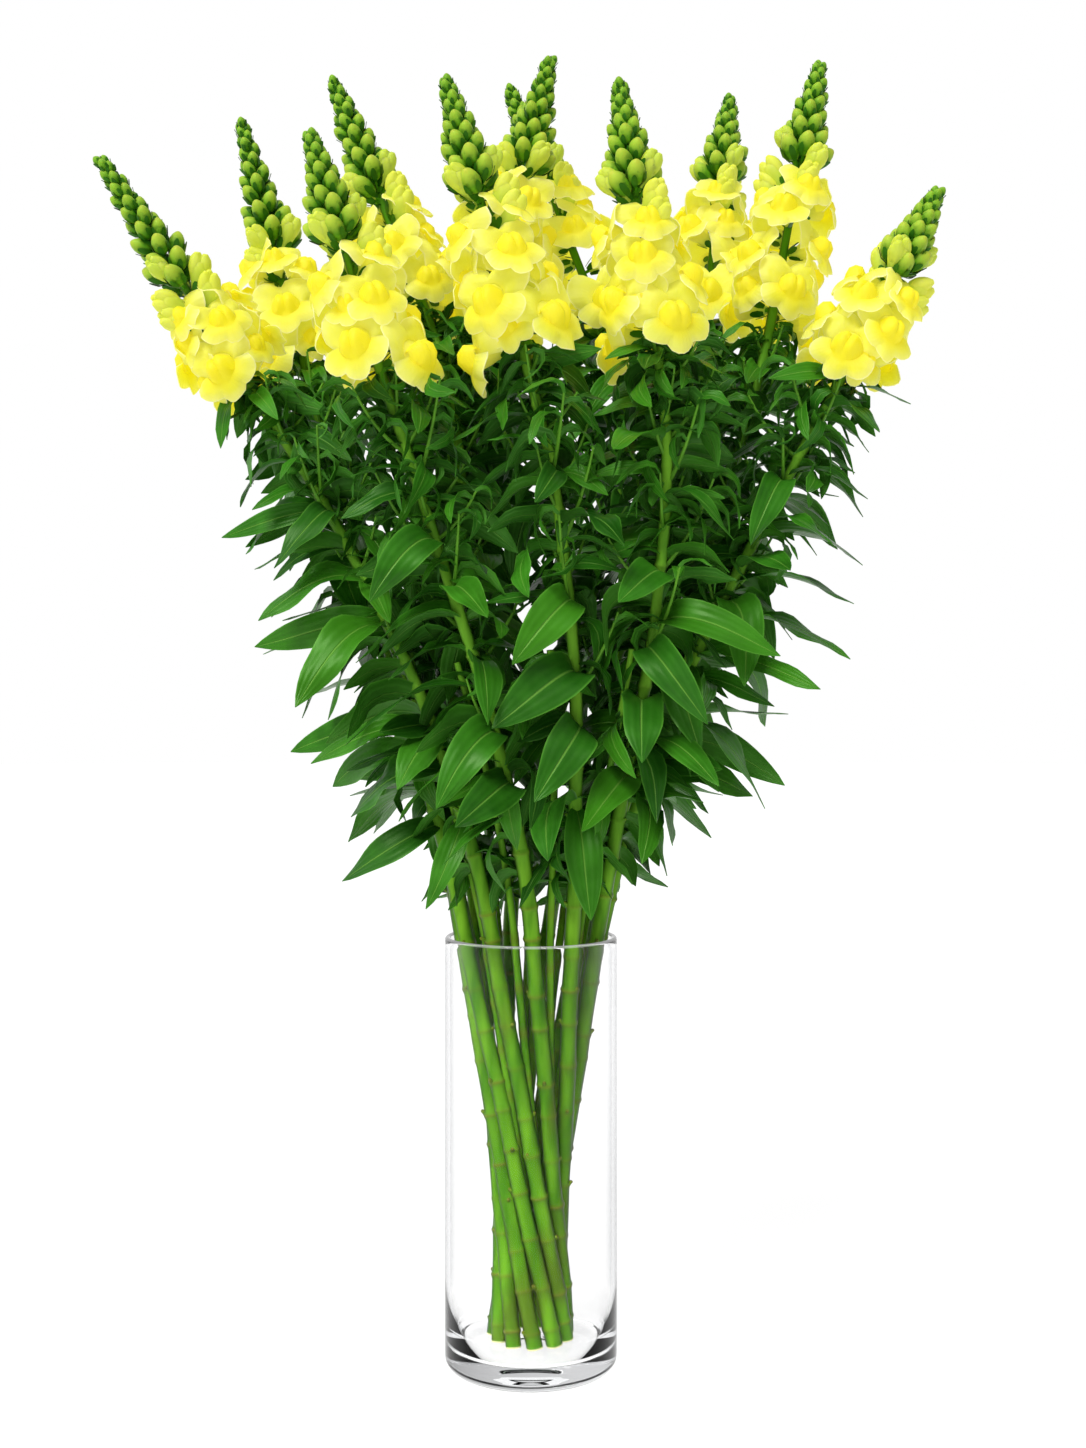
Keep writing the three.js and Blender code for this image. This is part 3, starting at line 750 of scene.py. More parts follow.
def place_small_flowers(stem):
    """A few smaller flowers, each where there is most room for it among the others."""
    made = []
    for n in range(SMALL.count):
        best, least = None, TIGHTEST
        for attempt in range(SMALL.tries):
            random = draws_for(stem, SMALL.tries * n + attempt)
            share = random(0, 1, 26)
            t = stem.below_tip(between(stem.spike_length - SMALL.lowest, stem.buds + SMALL.highest, share))
            elevation = math.radians(between(*SMALL.rise, share))
            azimuth = random(0, 2 * math.pi, 27)
            grown = growth_frame(stem, t, azimuth, elevation, random(*SMALL.sizes, 28))
            depth = neighbours.overlap(*flower_balls(grown), [f"spike{stem.number}"])
            if depth < least:
                best, least = grown, depth
        if best:
            neighbours.put(*flower_balls(best), "small")
            made.append(best)
    return made


def lip_edge(angles, lobes, notch):
    """How far a lip reaches in each direction: round lobes, given as direction, distance and
    radius, that part at notches."""
    edge = np.full(angles.shape, float(notch))
    for direction, distance, radius in lobes:
        off = distance * np.sin(angles - direction)
        reach = distance * np.cos(angles - direction) + np.sqrt(np.maximum(radius**2 - off**2, 0))
        edge = np.where(np.abs(off) < radius, np.maximum(edge, reach), edge)
    return edge


def lobe_share(angles, lobes):
    """How far across its lobe each direction lies: 0 in the middle, 1 at the edge."""
    return np.min([np.abs(angles - d) / math.asin(r / far) for d, far, r in lobes], axis=0).clip(0, 1)


def lip_reach(angles, lobes, notch, waves, root, random):
    """How far a lip's rows lie from the flower's axis, from its root to its waved edge."""
    edge = lip_edge(angles, lobes, notch) * (1 + LIP_WAVE * np.sin(waves * angles + random(0, 6)))
    return root + (edge - root) * LIP_STEPS


def lip_ruffle(angles, heights, counts, random):
    """How far a lip's rows wave in and out, most at its edge."""
    return random(*heights) * LIP_STEPS**2 * np.sin(random(*counts) * angles + random(0, 6))


def upper_lip(random):
    """Two broad lobes bent back, as a grid of points across, up and out."""
    v = LIP_STEPS
    lobes = [(math.radians(random(*turns)), far, r) for turns, far, r in UPPER_LOBES]
    angles = np.radians(np.linspace(-104, 104, 23))
    distance = lip_reach(angles, lobes, 12.0, 6, 8.3, random)
    bent = np.interp(angles, (-0.4, 0.4), (random(4, 14), random(4, 14)))
    out = 20.6 + 6.5 * v - bent * v**2 - 2.6 * v * lobe_share(angles, lobes) ** 2
    out = out + lip_ruffle(angles, (0.8, 1.8), (6, 9), random)
    throat = [polar(r, angles, z) for r, z in ((7.0, 14.5), (8.0, 18.6))]
    grid = np.concatenate([throat, polar(distance, angles, out)])
    rim = np.concatenate([[[0.0]] * len(throat), v])
    return grid, {"rim": rim, "palate": 0.25 * (rim == 0), "across": angles[None] / 1.7}


def lower_lip(random):
    """The palate with its furrow, and three lobes below it."""
    v = LIP_STEPS
    lobes = [(math.radians(turn), far, r) for turn, far, r in LOWER_LOBES]
    s = np.linspace(-1, 1, 21)
    hump = 1 - ((np.abs(s) - 0.46) / 0.46) ** 2
    palate = [
        (6.0 * s, 0.5 - 1.0 * s**2, 19 + 0 * s),
        (7.6 * s, 5.0 - 3.0 * s**2, 23.5 - 1.5 * s**2),
        (8.4 * s, 5.0 - 3.0 * s**2 + 0.9 * hump, 27.2 - 3.0 * s**2 + 1.4 * hump),
        (8.8 * s, 2.2 - 2.0 * s**2 + 0.4 * hump, 30.0 - 5.0 * s**2 + 2.4 * hump),
        (9.0 * s, -2.2 - 1.2 * s**2, 30.8 - 6.2 * s**2 + 2.5 * hump),
        (9.4 * s, -6.2 - 0.2 * s**2, 29.4 - 5.6 * s**2 + 1.4 * hump),
    ]
    angles = math.radians(84) * s
    distance = lip_reach(angles, lobes, 12.4, 7, 9.6, random)
    out = 27.6 - 3.4 * s**2 + 3.0 * v - random(2, 9) * v**2 - 2.0 * v * lobe_share(angles, lobes) ** 2
    out = out + lip_ruffle(angles, (0.6, 1.5), (7, 10), random)
    rows = [np.stack(row, -1) for row in palate]
    rows += list(polar(distance, angles, out) * [1, -1, 1])
    rim = np.concatenate([np.zeros((len(palate), 1)), v])
    deep = np.concatenate([np.ones((len(palate), 1)), ramp_down(v, 0.0, 0.7)])
    return np.array(rows), {"rim": rim, "palate": deep, "across": s[None]}


def ramp_down(values, low, high):
    """1 below low, 0 above high."""
    return 1 - np.clip((values - low) / (high - low), 0, 1)


def round_rings(outs, radii, sides, bend=0.0):
    """Rings across an axis that bends upwards, as points across, up and out."""
    outs, radii = (np.array(values, float)[:, None] for values in (outs, radii))
    rings = polar(radii, all_round(sides), outs)
    rings[..., 1] += bend * (outs / outs[-1]) ** 2
    return rings


def draws_in_turn(stem, piece, first_use):
    """The draws of one piece with their uses counted up, as a function of low and high."""
    uses = count(first_use)
    return lambda low, high: between(low, high, draw(stem.number, piece, next(uses)))


def add_flower(skins, grown, stem, k):
    """One open flower: its tube with the pouch at its back, and two lips."""
    random = draws_in_turn(stem, k, 31)
    tint = random(0, 1)
    tube = round_rings(TUBE_OUTS, TUBE_RADII, 12)
    tube[1:3, :, 1] -= TUBE_POUCH
    green = ramp_down(np.array(TUBE_OUTS), 5, 15)
    skins.loft(place_in(grown, tube), tint=tint, green=green, palate=0.15)
    for lip in (upper_lip, lower_lip):
        grid, painted = lip(random)
        skins.blade(place_in(grown, grid), PETAL, tint=tint, **painted)


# Part of the petals' colour is a painted glow that stands in for light shining through them, so that even
# shaded ones are bright.
petal_yellow, tree, shader = new_material("soft yellow petal")
flush = add_patches(tree, 70.0, colours=PETAL_YELLOWS)
rim = paint(tree, "rim")
shade = tinted(
    tree,
    flush.outputs["Color"],
    ("#faf694", rim, 0.55, 1.0, 0.6),
    ("#e6ea58", paint(tree, "tint"), 0, 1, 0.4),
    ("#fffcc0", rim, 0.93, 1.0, 0.6),
    ("#f6e414", paint(tree, "palate"), 0, 1, 0.85),
    ("#a4c83c", paint(tree, "green"), 0, 1, 0.85),
    # Painted shade: greener and darker where the petal is seen edge-on.
    ("#cfd232", edge_on(tree), 0.45, 1.0, 0.4),
)
veins = reckon(tree, "SINE", times(tree, paint(tree, "across"), 70.0))
thin_petal = {
    "Base Color": mix(tree, PETAL_SHADE, shade, BLACK),
    "Roughness": ramp(tree, flush.outputs["Value"], 0, 1, 0.5, 0.62),
    "Specular IOR Level": 0.25,
    "Emission Color": shade,
    "Emission Strength": PETAL_PAINTED_GLOW,
    "Subsurface Weight": 0.8,
    "Subsurface Radius": (1.0, 0.95, 0.15),
    "Subsurface Scale": 0.004,
    "Normal": relief(tree, veins, 0.12, 0.3),
}
feed(tree, shader, thin_petal)

placed_flowers = [place_flowers(stem) for stem in stems]
placed_flowers = [large + place_small_flowers(stem) for stem, large in zip(stems, placed_flowers)]
for stem, grown_flowers in zip(stems, placed_flowers):
    flower_skins = Skins()
    for k, grown in enumerate(grown_flowers):
        add_flower(flower_skins, grown, stem, k)
    petals = flower_skins.piece("petals_" + stem.label, petal_yellow)
    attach(petals, "root")
    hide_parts("open_flowers_" + stem.label)

# ---- Opening buds ---------------------------------------------------------------------------
# Between the flowers and the green buds, six flowers a spike are about to open: longer pale
# yellow buds, still folded shut at the tip. The youngest are mostly green.
OPENING_OUTS = (4.5, 6, 9, 12.5, 16, 18.5, 20)
OPENING_RADII = (1.8, 2.7, 3.3, 4.1, 4.8, 4.2, 2.2)
OPENING_BEND = 1.6
FOLD_STEPS = np.linspace(-0.95, 0.95, 6)
FOLD_LENGTH = 1.8
FOLDS = ((-1.7, 2.9, 17.2, 3.1), (1.8, 2.5, 17.6, 3.0), (0, -0.9, 16.6, 3.4))

# How far each is below the green part of the spike, its step in the spiral after the last flower,
# how steeply it points up, and its size.
OPENING_BUDS = (
    (14, 0, 42, 1.35),
    (7, 1, 46, 1.3),
    (22, 2.6, 36, 1.35),
    (18, 3.5, 42, 1.3),
    (2, 4.4, 46, 1.25),
    (-5, 5.4, 48, 1.15),
)


def add_opening_bud(skins, grown, tint, young):
    """A folded corolla: a bent tube with two upper lobes and a lower one tucked in at its end.
    Young is 1 for one that is still mostly green."""
    body = round_rings(OPENING_OUTS, OPENING_RADII, 12, OPENING_BEND)
    green = ramp_down(np.array(OPENING_OUTS), 7, 27 + 14 * young)
    skins.loft(place_in(grown, body), tint=tint, green=green)
    for *middle, radius in FOLDS:
        lengths, radii = FOLD_LENGTH * radius * FOLD_STEPS, radius * np.sqrt(1 - FOLD_STEPS**2)
        fold = place_in(grown, round_rings(lengths, radii, 9) + middle)
        skins.loft(fold, tint=tint, green=0.35 + 0.45 * young, rim=0.5)


opening_frames = {}
for stem in stems:
    opening_frames[stem.label] = []
    opening_skins = Skins()
    for n, (below, step, elevation, size) in enumerate(OPENING_BUDS):
        t = stem.below_tip(stem.buds + below)
        azimuth = spike_azimuth(stem, stem.flowers + step)
        grown = growth_frame(stem, t, azimuth, math.radians(elevation), size)
        opening_frames[stem.label].append(grown)
        add_opening_bud(opening_skins, grown, draw(stem.number, n, 61), ramp_down(below, -5, 15))
    opening = opening_skins.piece("opening_buds_" + stem.label, petal_yellow)
    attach(opening, "root")
    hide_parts("open_flowers_" + stem.label)

# ---- Green buds, calyxes and bracts ---------------------------------------------------------
# Up the rest of the spike sit egg-shaped green buds, smaller and closer towards its tip, each over
# a small pointed bract. Every bud and flower has a short stalk and a calyx of five blunt dark
# green sepals.
GREEN_BUDS = 38
BUD_STEPS = np.array([0, 0.12, 0.3, 0.5, 0.7, 0.86, 0.96, 1.0])
BUD_SHAPE = np.array([0.45, 0.8, 0.97, 1.0, 0.86, 0.6, 0.32, 0.1])
SEPALS, SEPAL = 5, 0.4
THREE_ACROSS = np.array([-1, 0, 1.0])[None]

# The reach, length and radius of the green buds at the tip of the spike and lowest down.
BUD_SIZES = ((8.4, 23.5), (6.4, 15.8), (2.6, 5.5))

# Where a calyx starts, its length, its radii from foot to tip, and half a sepal's width.
FLOWER_CALYX = (4.2, 7.4, (2.8, 4.2, 5.6), 2.3)
OPENING_CALYX = (4.0, 6.6, (2.2, 3.2, 3.9), 1.8)


def add_calyx(skins, grown, tint, start, length, radii, half_width):
    """Five blunt sepals that hug what they hold, on a short stalk from the stem."""
    stalk = round_rings((grown.radius / grown.size - 0.5, start, start + 0.8), (1.0, 1.2, 1.6), 5)
    skins.loft(place_in(grown, stalk), tint=tint, stalk=1)
    u = np.array([0, 0.4, 0.8, 1.0])[:, None]
    half = half_width * np.array([0.6, 1.0, 0.85, 0.35])[:, None]
    distance = np.interp(u, (0, 0.4, 1), radii) + 0.6
    for angle in all_round(SEPALS) + 0.3 * tint:
        turn = angle + half * THREE_ACROSS / np.maximum(distance, 1.2)
        skins.blade(place_in(grown, polar(distance, turn, start + length * u)), SEPAL, tint=tint)


def add_green_bud(bud_skins, calyx_skins, grown, share, tint):
    """An egg-shaped bud in its calyx. Share is 0 at the tip of the spike and 1 lowest down."""
    reach, length, radius = (between(*ends, share**1.1) for ends in BUD_SIZES)
    base = reach * between(0.94, 1.06, tint) - length
    body = round_rings(base + length * BUD_STEPS, radius * BUD_SHAPE, 9, 0.4)
    bud_skins.loft(place_in(grown, body), along=BUD_STEPS, ripe=share)
    hug = (0.5 * radius, 0.98 * radius, 1.0 * radius)
    add_calyx(calyx_skins, grown, tint, base - 0.4, 0.66 * length, hug, 0.36 * radius)


def add_bract(skins, stem, t, azimuth, length, tint):
    """The small pointed leaf under each green bud."""
    grown = growth_frame(stem, t, azimuth, math.radians(8))
    u = np.array([0, 0.25, 0.5, 0.75, 1.0])[:, None]
    half = 0.2 * length * np.array([0.5, 1.0, 0.85, 0.5, 0.1])[:, None]
    sag = -0.35 * length * u**2 + 0.25 * half * np.abs(THREE_ACROSS)
    grid = np.broadcast_arrays(half * THREE_ACROSS, sag - 2.0, grown.radius - 0.6 + length * u)
    skins.blade(place_in(grown, np.stack(grid, -1)), SEPAL, tint=tint)


def waxy_skin(tree, shade, mottle):
    """The finish of buds and sepals: their shade with a soft gleam and a fine grain."""
    return {
        "Base Color": shade,
        "Roughness": ramp(tree, mottle.outputs["Value"], 0, 1, 0.42, 0.55),
        "Specular IOR Level": 0.3,
        "Specular Tint": (0.7, 1, 0.3, 1),
        "Normal": relief(tree, mottle.outputs["Value"], 0.2, 0.3),
    }


bud_green, tree, shader = new_material("green bud")
mottle = add_patches(tree, 160.0, colours=("#68a41c", "#38780e"))
along = paint(tree, "along")
spots = add_patches(tree, 330.0, 1.0, 2.0).outputs["Value"]
shade = tinted(
    tree,
    mottle.outputs["Color"],
    ("#98c83a", along, 0.35, 0.95, 0.45),
    ("#c2d244", times(tree, ramp(tree, along, 0.45, 1.0), paint(tree, "ripe")), 0, 1, 0.9),
    ("#2c6410", times(tree, ramp(tree, spots, 0.6, 0.9), ramp(tree, along, 0.9, 0.5)), 0, 1, 0.6),
    # Painted highlight: paler at the outline, where the bud is seen edge-on.
    ("#b2d050", edge_on(tree), 0.45, 0.9, 0.4),
    ("#b09a40", along, 0.9, 1.0, 0.25),
)
feed(tree, shader, waxy_skin(tree, shade, mottle))
feed(tree, shader, {"Subsurface Weight": 0.1, "Subsurface Scale": 0.002})

sepal_green, tree, shader = new_material("dark green sepal")
mottle = add_patches(tree, 150.0, colours=("#34751a", "#225a0c"))
shade = tinted(
    tree,
    mottle.outputs["Color"],
    ("#194a0a", paint(tree, "tint"), 0, 1, 0.35),
    ("#4f9a1c", paint(tree, "stalk"), 0, 1, 1),
)
feed(tree, shader, waxy_skin(tree, shade, mottle))

for stem, grown_flowers in zip(stems, placed_flowers):
    bud_skins, calyx_skins = Skins(), Skins()
    for k, grown in enumerate(grown_flowers):
        add_calyx(calyx_skins, grown, draw(stem.number, k, 71), *FLOWER_CALYX)
    for n, grown in enumerate(opening_frames[stem.label]):
        add_calyx(calyx_skins, grown, draw(stem.number, n, 72), *OPENING_CALYX)
    for n in range(GREEN_BUDS):
        share = 1 - n / GREEN_BUDS
        t = stem.below_tip(between(3, stem.buds, share**1.1))
        azimuth = spike_azimuth(stem, stem.flowers + 2 + n)
        elevation = between(70, 42, share) + between(-6, 6, draw(stem.number, n, 75))
        grown = growth_frame(stem, t, azimuth, math.radians(elevation))
        add_green_bud(bud_skins, calyx_skins, grown, share, draw(stem.number, n, 73))
        add_bract(calyx_skins, stem, t, azimuth, between(3, 6, share), draw(stem.number, n, 74))
    tip = growth_frame(stem, stem.below_tip(9), 0, math.radians(89))
    add_green_bud(bud_skins, calyx_skins, tip, 0.05, 0.5)
    buds = bud_skins.piece("buds_" + stem.label, bud_green)
    calyxes = calyx_skins.piece("calyxes_" + stem.label, sepal_green)
    for piece in (buds, calyxes):
        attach(piece, "root")
        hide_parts("leafy_stem_" + stem.label)

# ---- Leaves and side shoots -----------------------------------------------------------------
# Smooth lance-shaped leaves with a pale midrib grow in a golden-angle spiral above the rim. They
# arch over and hang. Shorter ones fill in between, and side shoots with small curled leaves grow
# from the joints, most of them high up under the flowers.

# A leaf's thickness and how early it bends, the steps of its midrib, the places of its balls on
# that, and the columns of points across large and small leaves.
LEAF, ARCH = 0.45, 2.2
LEAF_STEPS = 48
LEAF_BALLS = np.array([0.3, 0.42, 0.54, 0.66, 0.78, 0.9, 1])
WIDE_COLUMNS = np.array([-1, -0.62, -0.24, 0, 0.24, 0.62, 1.0])
SLIM_COLUMNS = np.array([-1, -0.5, 0, 0.5, 1.0])

# How many of each a stem has, from where to where between the rim at 0 and the lowest flower at 1,
# and their lengths there. Outer leaves grow only on stems beyond this distance from the middle. Of
# the fill leaves, the low share is small, and neither it nor those from upper on point far forwards.
LEAVES = SimpleNamespace(count=18, start=0.23, end=0.97, longest=84, shortest=48)
OUTER = SimpleNamespace(count=9, start=0.3, end=0.8, longest=92, shortest=68, beyond=100)
FILL = SimpleNamespace(
    count=132, start=0.04, end=0.99, longest=68, shortest=42, low=0.18, low_length=44, upper=0.4
)
SHOOTS = SimpleNamespace(count=20, start=0.34, end=0.98, leaves=7)

# A large leaf is turned this often, and then tried again shorter and with more droop.
TURNS = 10
SHORTER, DROOP = 0.7, math.degrees(0.25)

# How deep leaves may sit in their neighbours, how low they may hang at the neck and elsewhere,
# where the back row starts and ends, and how far small ones may point outwards and forwards.
OUTER_OVERLAP, SMALL_OVERLAP = 3.0, 1.5
LOWEST_AT_NECK, LOWEST = 266, 300
BACK_ROW, BACK = 30, 134
NECK_OUTWARDS, FORWARDS = 12, -0.55

# The long leaves that hang near the rim and mark the outline at the left: stem, place on it,
# direction, lean, length, half width, and how far it points from straight up at root and tip.
LONG_LEAVES = (
    (5, 1.23, 285, 8, 68, 13, 115, 176),
    (2, 1.18, 246, 48, 72, 11, 95, 172),
    (1, 1.2, 268, 12, 60, 8, 110, 176),
    (8, 1.25, 330, 0, 56, 8, 110, 168),
    (1, 1.76, 226, 68, 66, 8, 100, 160),
    (1, 1.56, 230, 66, 80, 10, 105, 172),
    (2, 1.36, 232, 74, 78, 10, 100, 170),
)


def arched(start, end, t):
    """The direction of a leaf at t, which turns from start to end, mostly near its root."""
    return start + (end - start) * (1 - (1 - t) ** ARCH)


def on_line(line, t):
    """The points at t of a line with even steps, which runs from 0 to 1."""
    steps = np.linspace(0, 1, len(line))
    return np.stack([np.interp(t, steps, line[:, i]) for i in range(3)], -1)


def leaf_width(t):
    """The share of the full half width at t, widest a little below the middle."""
    return np.sin(math.pi * t**0.85) ** 0.9


def make_leaf(root, azimuth, lean, length, half_width, start, end):
    """A leaf that arches over in one plane. In degrees, start and end are how far it points from
    straight up at root and tip, and lean tilts its plane sideways."""
    lean, start, end = (math.radians(a) for a in (lean, start, end))
    flat = level(azimuth - math.pi / 2)
    side = math.cos(lean) * flat + math.sin(lean) * UP
    upward = -math.sin(lean) * flat + math.cos(lean) * UP
    turned = arched(start, end, (np.arange(LEAF_STEPS) + 0.5) / LEAF_STEPS)
    outs = np.concatenate([[0], np.cumsum(np.sin(turned))]) * length / LEAF_STEPS
    ups = np.concatenate([[0], np.cumsum(np.cos(turned))]) * length / LEAF_STEPS
    line = root + outs[:, None] * level(azimuth) + ups[:, None] * upward
    leaf = SimpleNamespace(line=line, side=side, outward=level(azimuth), upward=upward, length=length)
    leaf.half_width, leaf.start, leaf.end = half_width, start, end
    leaf.centres = on_line(line, LEAF_BALLS)
    leaf.radii = 1.2 + 0.8 * half_width * leaf_width(np.minimum(LEAF_BALLS, 0.97))
    return leaf


def add_leaf(skins, leaf, rows, columns, random):
    """A leaf's blade: folded a little along its midrib, twisted, and waved along its edges."""
    t = np.linspace(0, 1, rows)[:, None]
    s = columns[None]
    turned = arched(leaf.start, leaf.end, t)
    face = np.sin(turned) * leaf.upward - np.cos(turned) * leaf.outward
    twist = random(-0.9, 0.9) * t
    side = np.cos(twist) * leaf.side + np.sin(twist) * face
    face = np.cos(twist) * face - np.sin(twist) * leaf.side
    half = leaf.half_width * random(0.78, 1.02) * leaf_width(t) ** 0.85
    half = np.maximum(half, 0.25 + 0.9 * (1 - t) ** 6)
    fold, wave, phase = random(0.1, 0.75), random(0.08, 0.28), random(0, 6)
    ripple = wave * np.sin(random(8, 15) * t + phase + 1.5 * (s > 0)) * s**2
    lift = half * (fold * (1 - 1.5 * t) * np.abs(s) ** 1.3 + ripple) - 0.35 * (s == 0) * (half > 1)
    middle = on_line(leaf.line, t[:, 0]) + random(-0.16, 0.16) * leaf.length * t**2 * side
    grid = middle[:, None] + (half * s)[..., None] * side[:, None] + lift[..., None] * face[:, None]
    skins.blade(grid, LEAF, across=s, tint=random(0, 1))


def place_leaves(stem):
    """The large leaves of a stem, each turned until it is clear of its neighbours. One that finds
    no free place is tried again shorter and hanging down more."""
    made = []
    for n in range(LEAVES.count):
        share = n / (LEAVES.count - 1)
        random = draws_for(stem, n)
        root = stem.point(1 + between(LEAVES.start, LEAVES.end, share))
        full = between(LEAVES.longest, LEAVES.shortest, share * share)
        length = full * random(0.84, 1.1, 11)
        half_width = full * between(0.165, 0.15, share) * random(0.88, 1.12, 12)
        azimuth = stem.number + n * GOLDEN_ANGLE
        lean, start, end = random(-42, 42, 13), random(38, 66, 14), random(118, 176, 15)
        for attempt in range(2 * TURNS):
            size, droop = (1, 0) if attempt < TURNS else (SHORTER, DROOP)
            turned = azimuth + 0.4 * swing(attempt % TURNS)
            leaf = make_leaf(root, turned, lean, length * size, half_width * size, start, end + droop)
            if neighbours.overlap(leaf.centres, leaf.radii, [f"stem{stem.number}", "small"]) < 0:
                neighbours.put(leaf.centres, leaf.radii, "leaf")
                made.append(leaf)
                break
    return made


def turned_leaves(root, azimuth, step, number, *shape):
    """The same leaf several times, turned to either side in steps."""
    return [make_leaf(root, azimuth + step * swing(a), *shape) for a in range(number)]


def eased(leaf, share):
    """A small leaf that may touch others near its root and with its edges."""
    leaf.centres, leaf.radii = leaf.centres[2:], share * leaf.radii[2:]
    return leaf


def best_turned(stem, options, lowest, deepest):
    """The leaf among a few that sits least in its neighbours, as a list, or an empty list if that
    is too deep. It stays above the bare neck of the bunch, below the flowers and off its back."""
    highest = stem.lowest[2] + 4
    options = [leaf for leaf in options if leaf.line[:, 2].min() > lowest]
    options = [leaf for leaf in options if leaf.line[:, 2].max() < highest]
    options = [leaf for leaf in options if leaf.line[:, 1].max() < BACK]
    depths = [neighbours.overlap(leaf.centres, leaf.radii, []) for leaf in options]
    if not options or min(depths) > deepest:
        return []
    best = options[int(np.argmin(depths))]
    neighbours.put(best.centres, best.radii, "leaf")
    return [best]


def place_outer_leaves(stem):
    """The long leaves, and more that stand out sideways on the stems at both ends of the bunch."""
    made = []
    for number, place, azimuth, *shape in LONG_LEAVES:
        if number == stem.number:
            leaf = make_leaf(stem.point(place), math.radians(azimuth), *shape)
            neighbours.put(leaf.centres, leaf.radii, "leaf")
            made.append(leaf)
    for n in range(OUTER.count if abs(stem.lowest[0]) > OUTER.beyond else 0):
        random = draws_for(stem, n)
        share = (n + random(0, 1, 87)) / OUTER.count
        root = stem.point(1 + between(OUTER.start, OUTER.end, share))
        azimuth = random(-0.5, 0.5, 88) + (0 if stem.lowest[0] > 0 else math.pi)
        length = between(OUTER.longest, OUTER.shortest, share) * random(0.8, 1.08, 89)
        size, bend = (length, length * random(0.13, 0.17, 19)), (random(45, 75, 90), random(95, 165, 16))
        options = turned_leaves(root, azimuth, 0.3, 9, random(-50, 50, 18), *size, *bend)
        made += best_turned(stem, options, LOWEST, OUTER_OVERLAP)
    return made


def place_fill_leaves(stem):
    """Shorter leaves between the large ones, and small ones down to the rim. Those at the back are
    larger, and none points forward at the neck or in the upper part of the bunch."""
    made = []
    for n in range(FILL.count):
        random = draws_for(stem, n)
        share = (n + random(0, 1, 81)) / FILL.count
        low = share < FILL.low
        root = stem.point(1 + between(FILL.start, FILL.end, share))
        length = FILL.low_length if low else between(FILL.longest, FILL.shortest, share)
        length = length * random(0.7, 1.15, 82)
        half_width = length * random(0.12, 0.2, 83)
        if root[1] > BACK_ROW:
            length, half_width = 1.15 * length, 1.3 * half_width
        azimuth = stem.number + 2 + n * GOLDEN_ANGLE
        size, bend = (length, half_width), (random(20, 80, 85), random(105, 215, 86))
        options = turned_leaves(root, azimuth, 0.5, 12, random(-50, 50, 84), *size, *bend)
        if low:
            options = [leaf for leaf in options if leaf.outward @ root < NECK_OUTWARDS]
        if low or share > FILL.upper:
            options = [leaf for leaf in options if leaf.outward[1] > FORWARDS]
        options = [eased(leaf, 0.7) for leaf in options]
        made += best_turned(stem, options, LOWEST_AT_NECK if low else LOWEST, SMALL_OVERLAP)
    return made


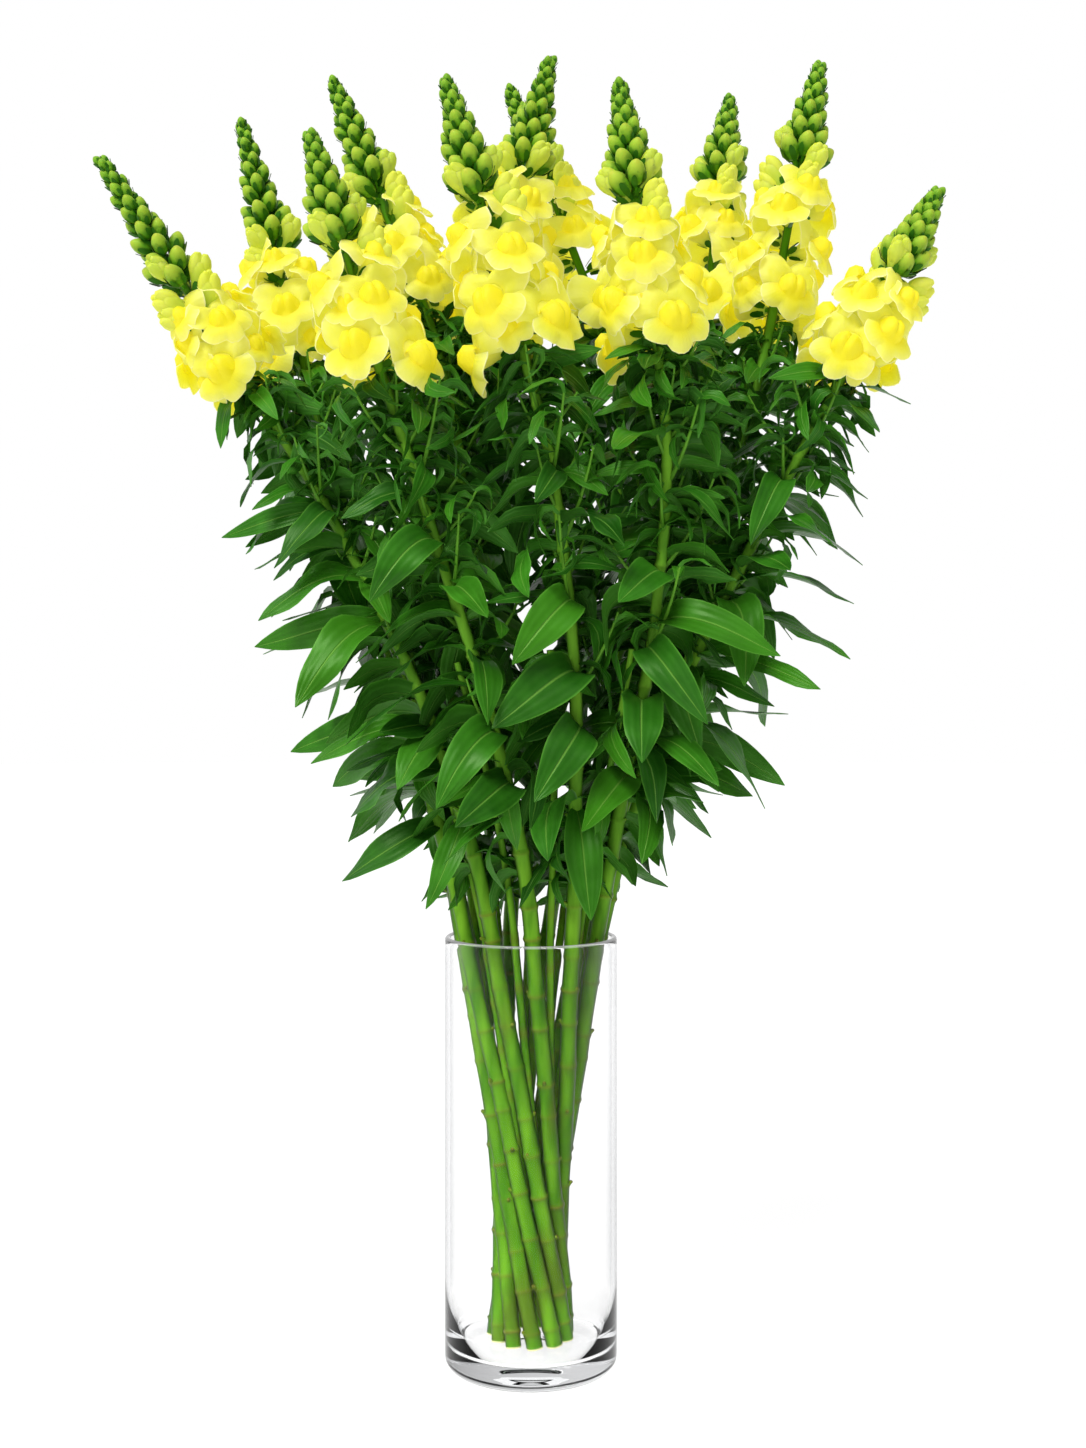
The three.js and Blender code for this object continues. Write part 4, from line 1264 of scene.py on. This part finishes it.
def add_shoot(skins, stem, n):
    """A thin side shoot with a few small leaves."""
    random = draws_in_turn(stem, n, 91)
    share = (n + random(0, 1)) / SHOOTS.count
    root = stem.point(1 + between(SHOOTS.start, SHOOTS.end, share**0.5))
    outward = level(stem.number + 1 + n * GOLDEN_ANGLE)
    length = random(26, 58)
    spread = math.radians(random(35, 65))
    length = min(length, (stem.lowest[2] - root[2]) / (math.cos(spread) + 0.25))
    u = np.linspace(0, 1, 7)[:, None]
    rise = length * (math.cos(spread) * u + 0.25 * u**2)
    line = root + length * math.sin(spread) * (u - 0.2 * u**2) * outward + rise * UP
    ways = np.gradient(line, axis=0)
    rings = [ring(p, unit(w), between(1.3, 0.6, i / 6), 6) for i, (p, w) in enumerate(zip(line, ways))]
    skins.loft(rings, tint=0.8, stalk=1)
    for i in range(SHOOTS.leaves):
        joint = on_line(line, between(0.3, 1.0, i / (SHOOTS.leaves - 1)))
        azimuth = stem.number + n + i * GOLDEN_ANGLE
        length = random(22, 42) * between(1.1, 0.75, i / SHOOTS.leaves)
        bend = (random(0, 55), random(110, 270))
        lean, half_width = random(-40, 40), length * random(0.1, 0.18)
        options = turned_leaves(joint, azimuth, 0.7, 7, lean, length, half_width, *bend)
        options = [eased(leaf, 0.6) for leaf in options if leaf.outward[1] > FORWARDS]
        for leaf in best_turned(stem, options, LOWEST, SMALL_OVERLAP):
            add_leaf(skins, leaf, 7, SLIM_COLUMNS, random)


leaf_green, tree, shader = new_material("smooth green leaf")
tint = paint(tree, "tint")
aside = reckon(tree, "ABSOLUTE", paint(tree, "across"))
midrib = ramp(tree, aside, 0.07, 0.02)
side_veins = ramp(tree, reckon(tree, "SINE", times(tree, aside, 17.0)), -1.0, 1.0)
ridges = reckon(tree, "MULTIPLY_ADD", midrib, -1.0, times(tree, side_veins, 0.2))
bloom = add_patches(tree, 60.0, 1.0, tint, ("#357b18", "#215a0e"))
shade = tinted(
    tree,
    bloom.outputs["Color"],
    ("#458a18", tint, 0.3, 1.0, 0.45),
    ("#16460e", tint, 0.45, 0.0, 0.7),
    ("#5d9a3c", side_veins, 0, 1, 0.05),
    ("#80b848", midrib, 0, 1, 0.45),
    ("#62a838", aside, 0.9, 1.0, 0.6),
    ("#4f8a34", paint(tree, "underside"), 0, 1, 0.4),
    ("#5f9a2a", paint(tree, "stalk"), 0, 1, 1),
)
smooth_leaf = {
    "Base Color": shade,
    "Roughness": ramp(tree, bloom.outputs["Value"], 0, 1, 0.3, 0.44),
    "Specular IOR Level": 0.28,
    "Specular Tint": (0.65, 1, 0.45, 1),
    "Normal": relief(tree, ridges, 0.5, 1.2),
}
feed(tree, shader, smooth_leaf)

large_leaves = [place_leaves(stem) for stem in stems]
outer_leaves = [place_outer_leaves(stem) for stem in stems]
fill_leaves = [place_fill_leaves(stem) for stem in stems]
for stem, large, outer, fill in zip(stems, large_leaves, outer_leaves, fill_leaves):
    leaf_skins = Skins()
    for n, leaf in enumerate(large + outer + fill):
        rows, columns = (14, WIDE_COLUMNS) if n < len(large + outer) else (9, SLIM_COLUMNS)
        add_leaf(leaf_skins, leaf, rows, columns, draws_in_turn(stem, n, 201))
    for n in range(SHOOTS.count):
        add_shoot(leaf_skins, stem, n)
    leaves = leaf_skins.piece("leaves_" + stem.label, leaf_green)
    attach(leaves, "root")
    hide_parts("leafy_stem_" + stem.label)
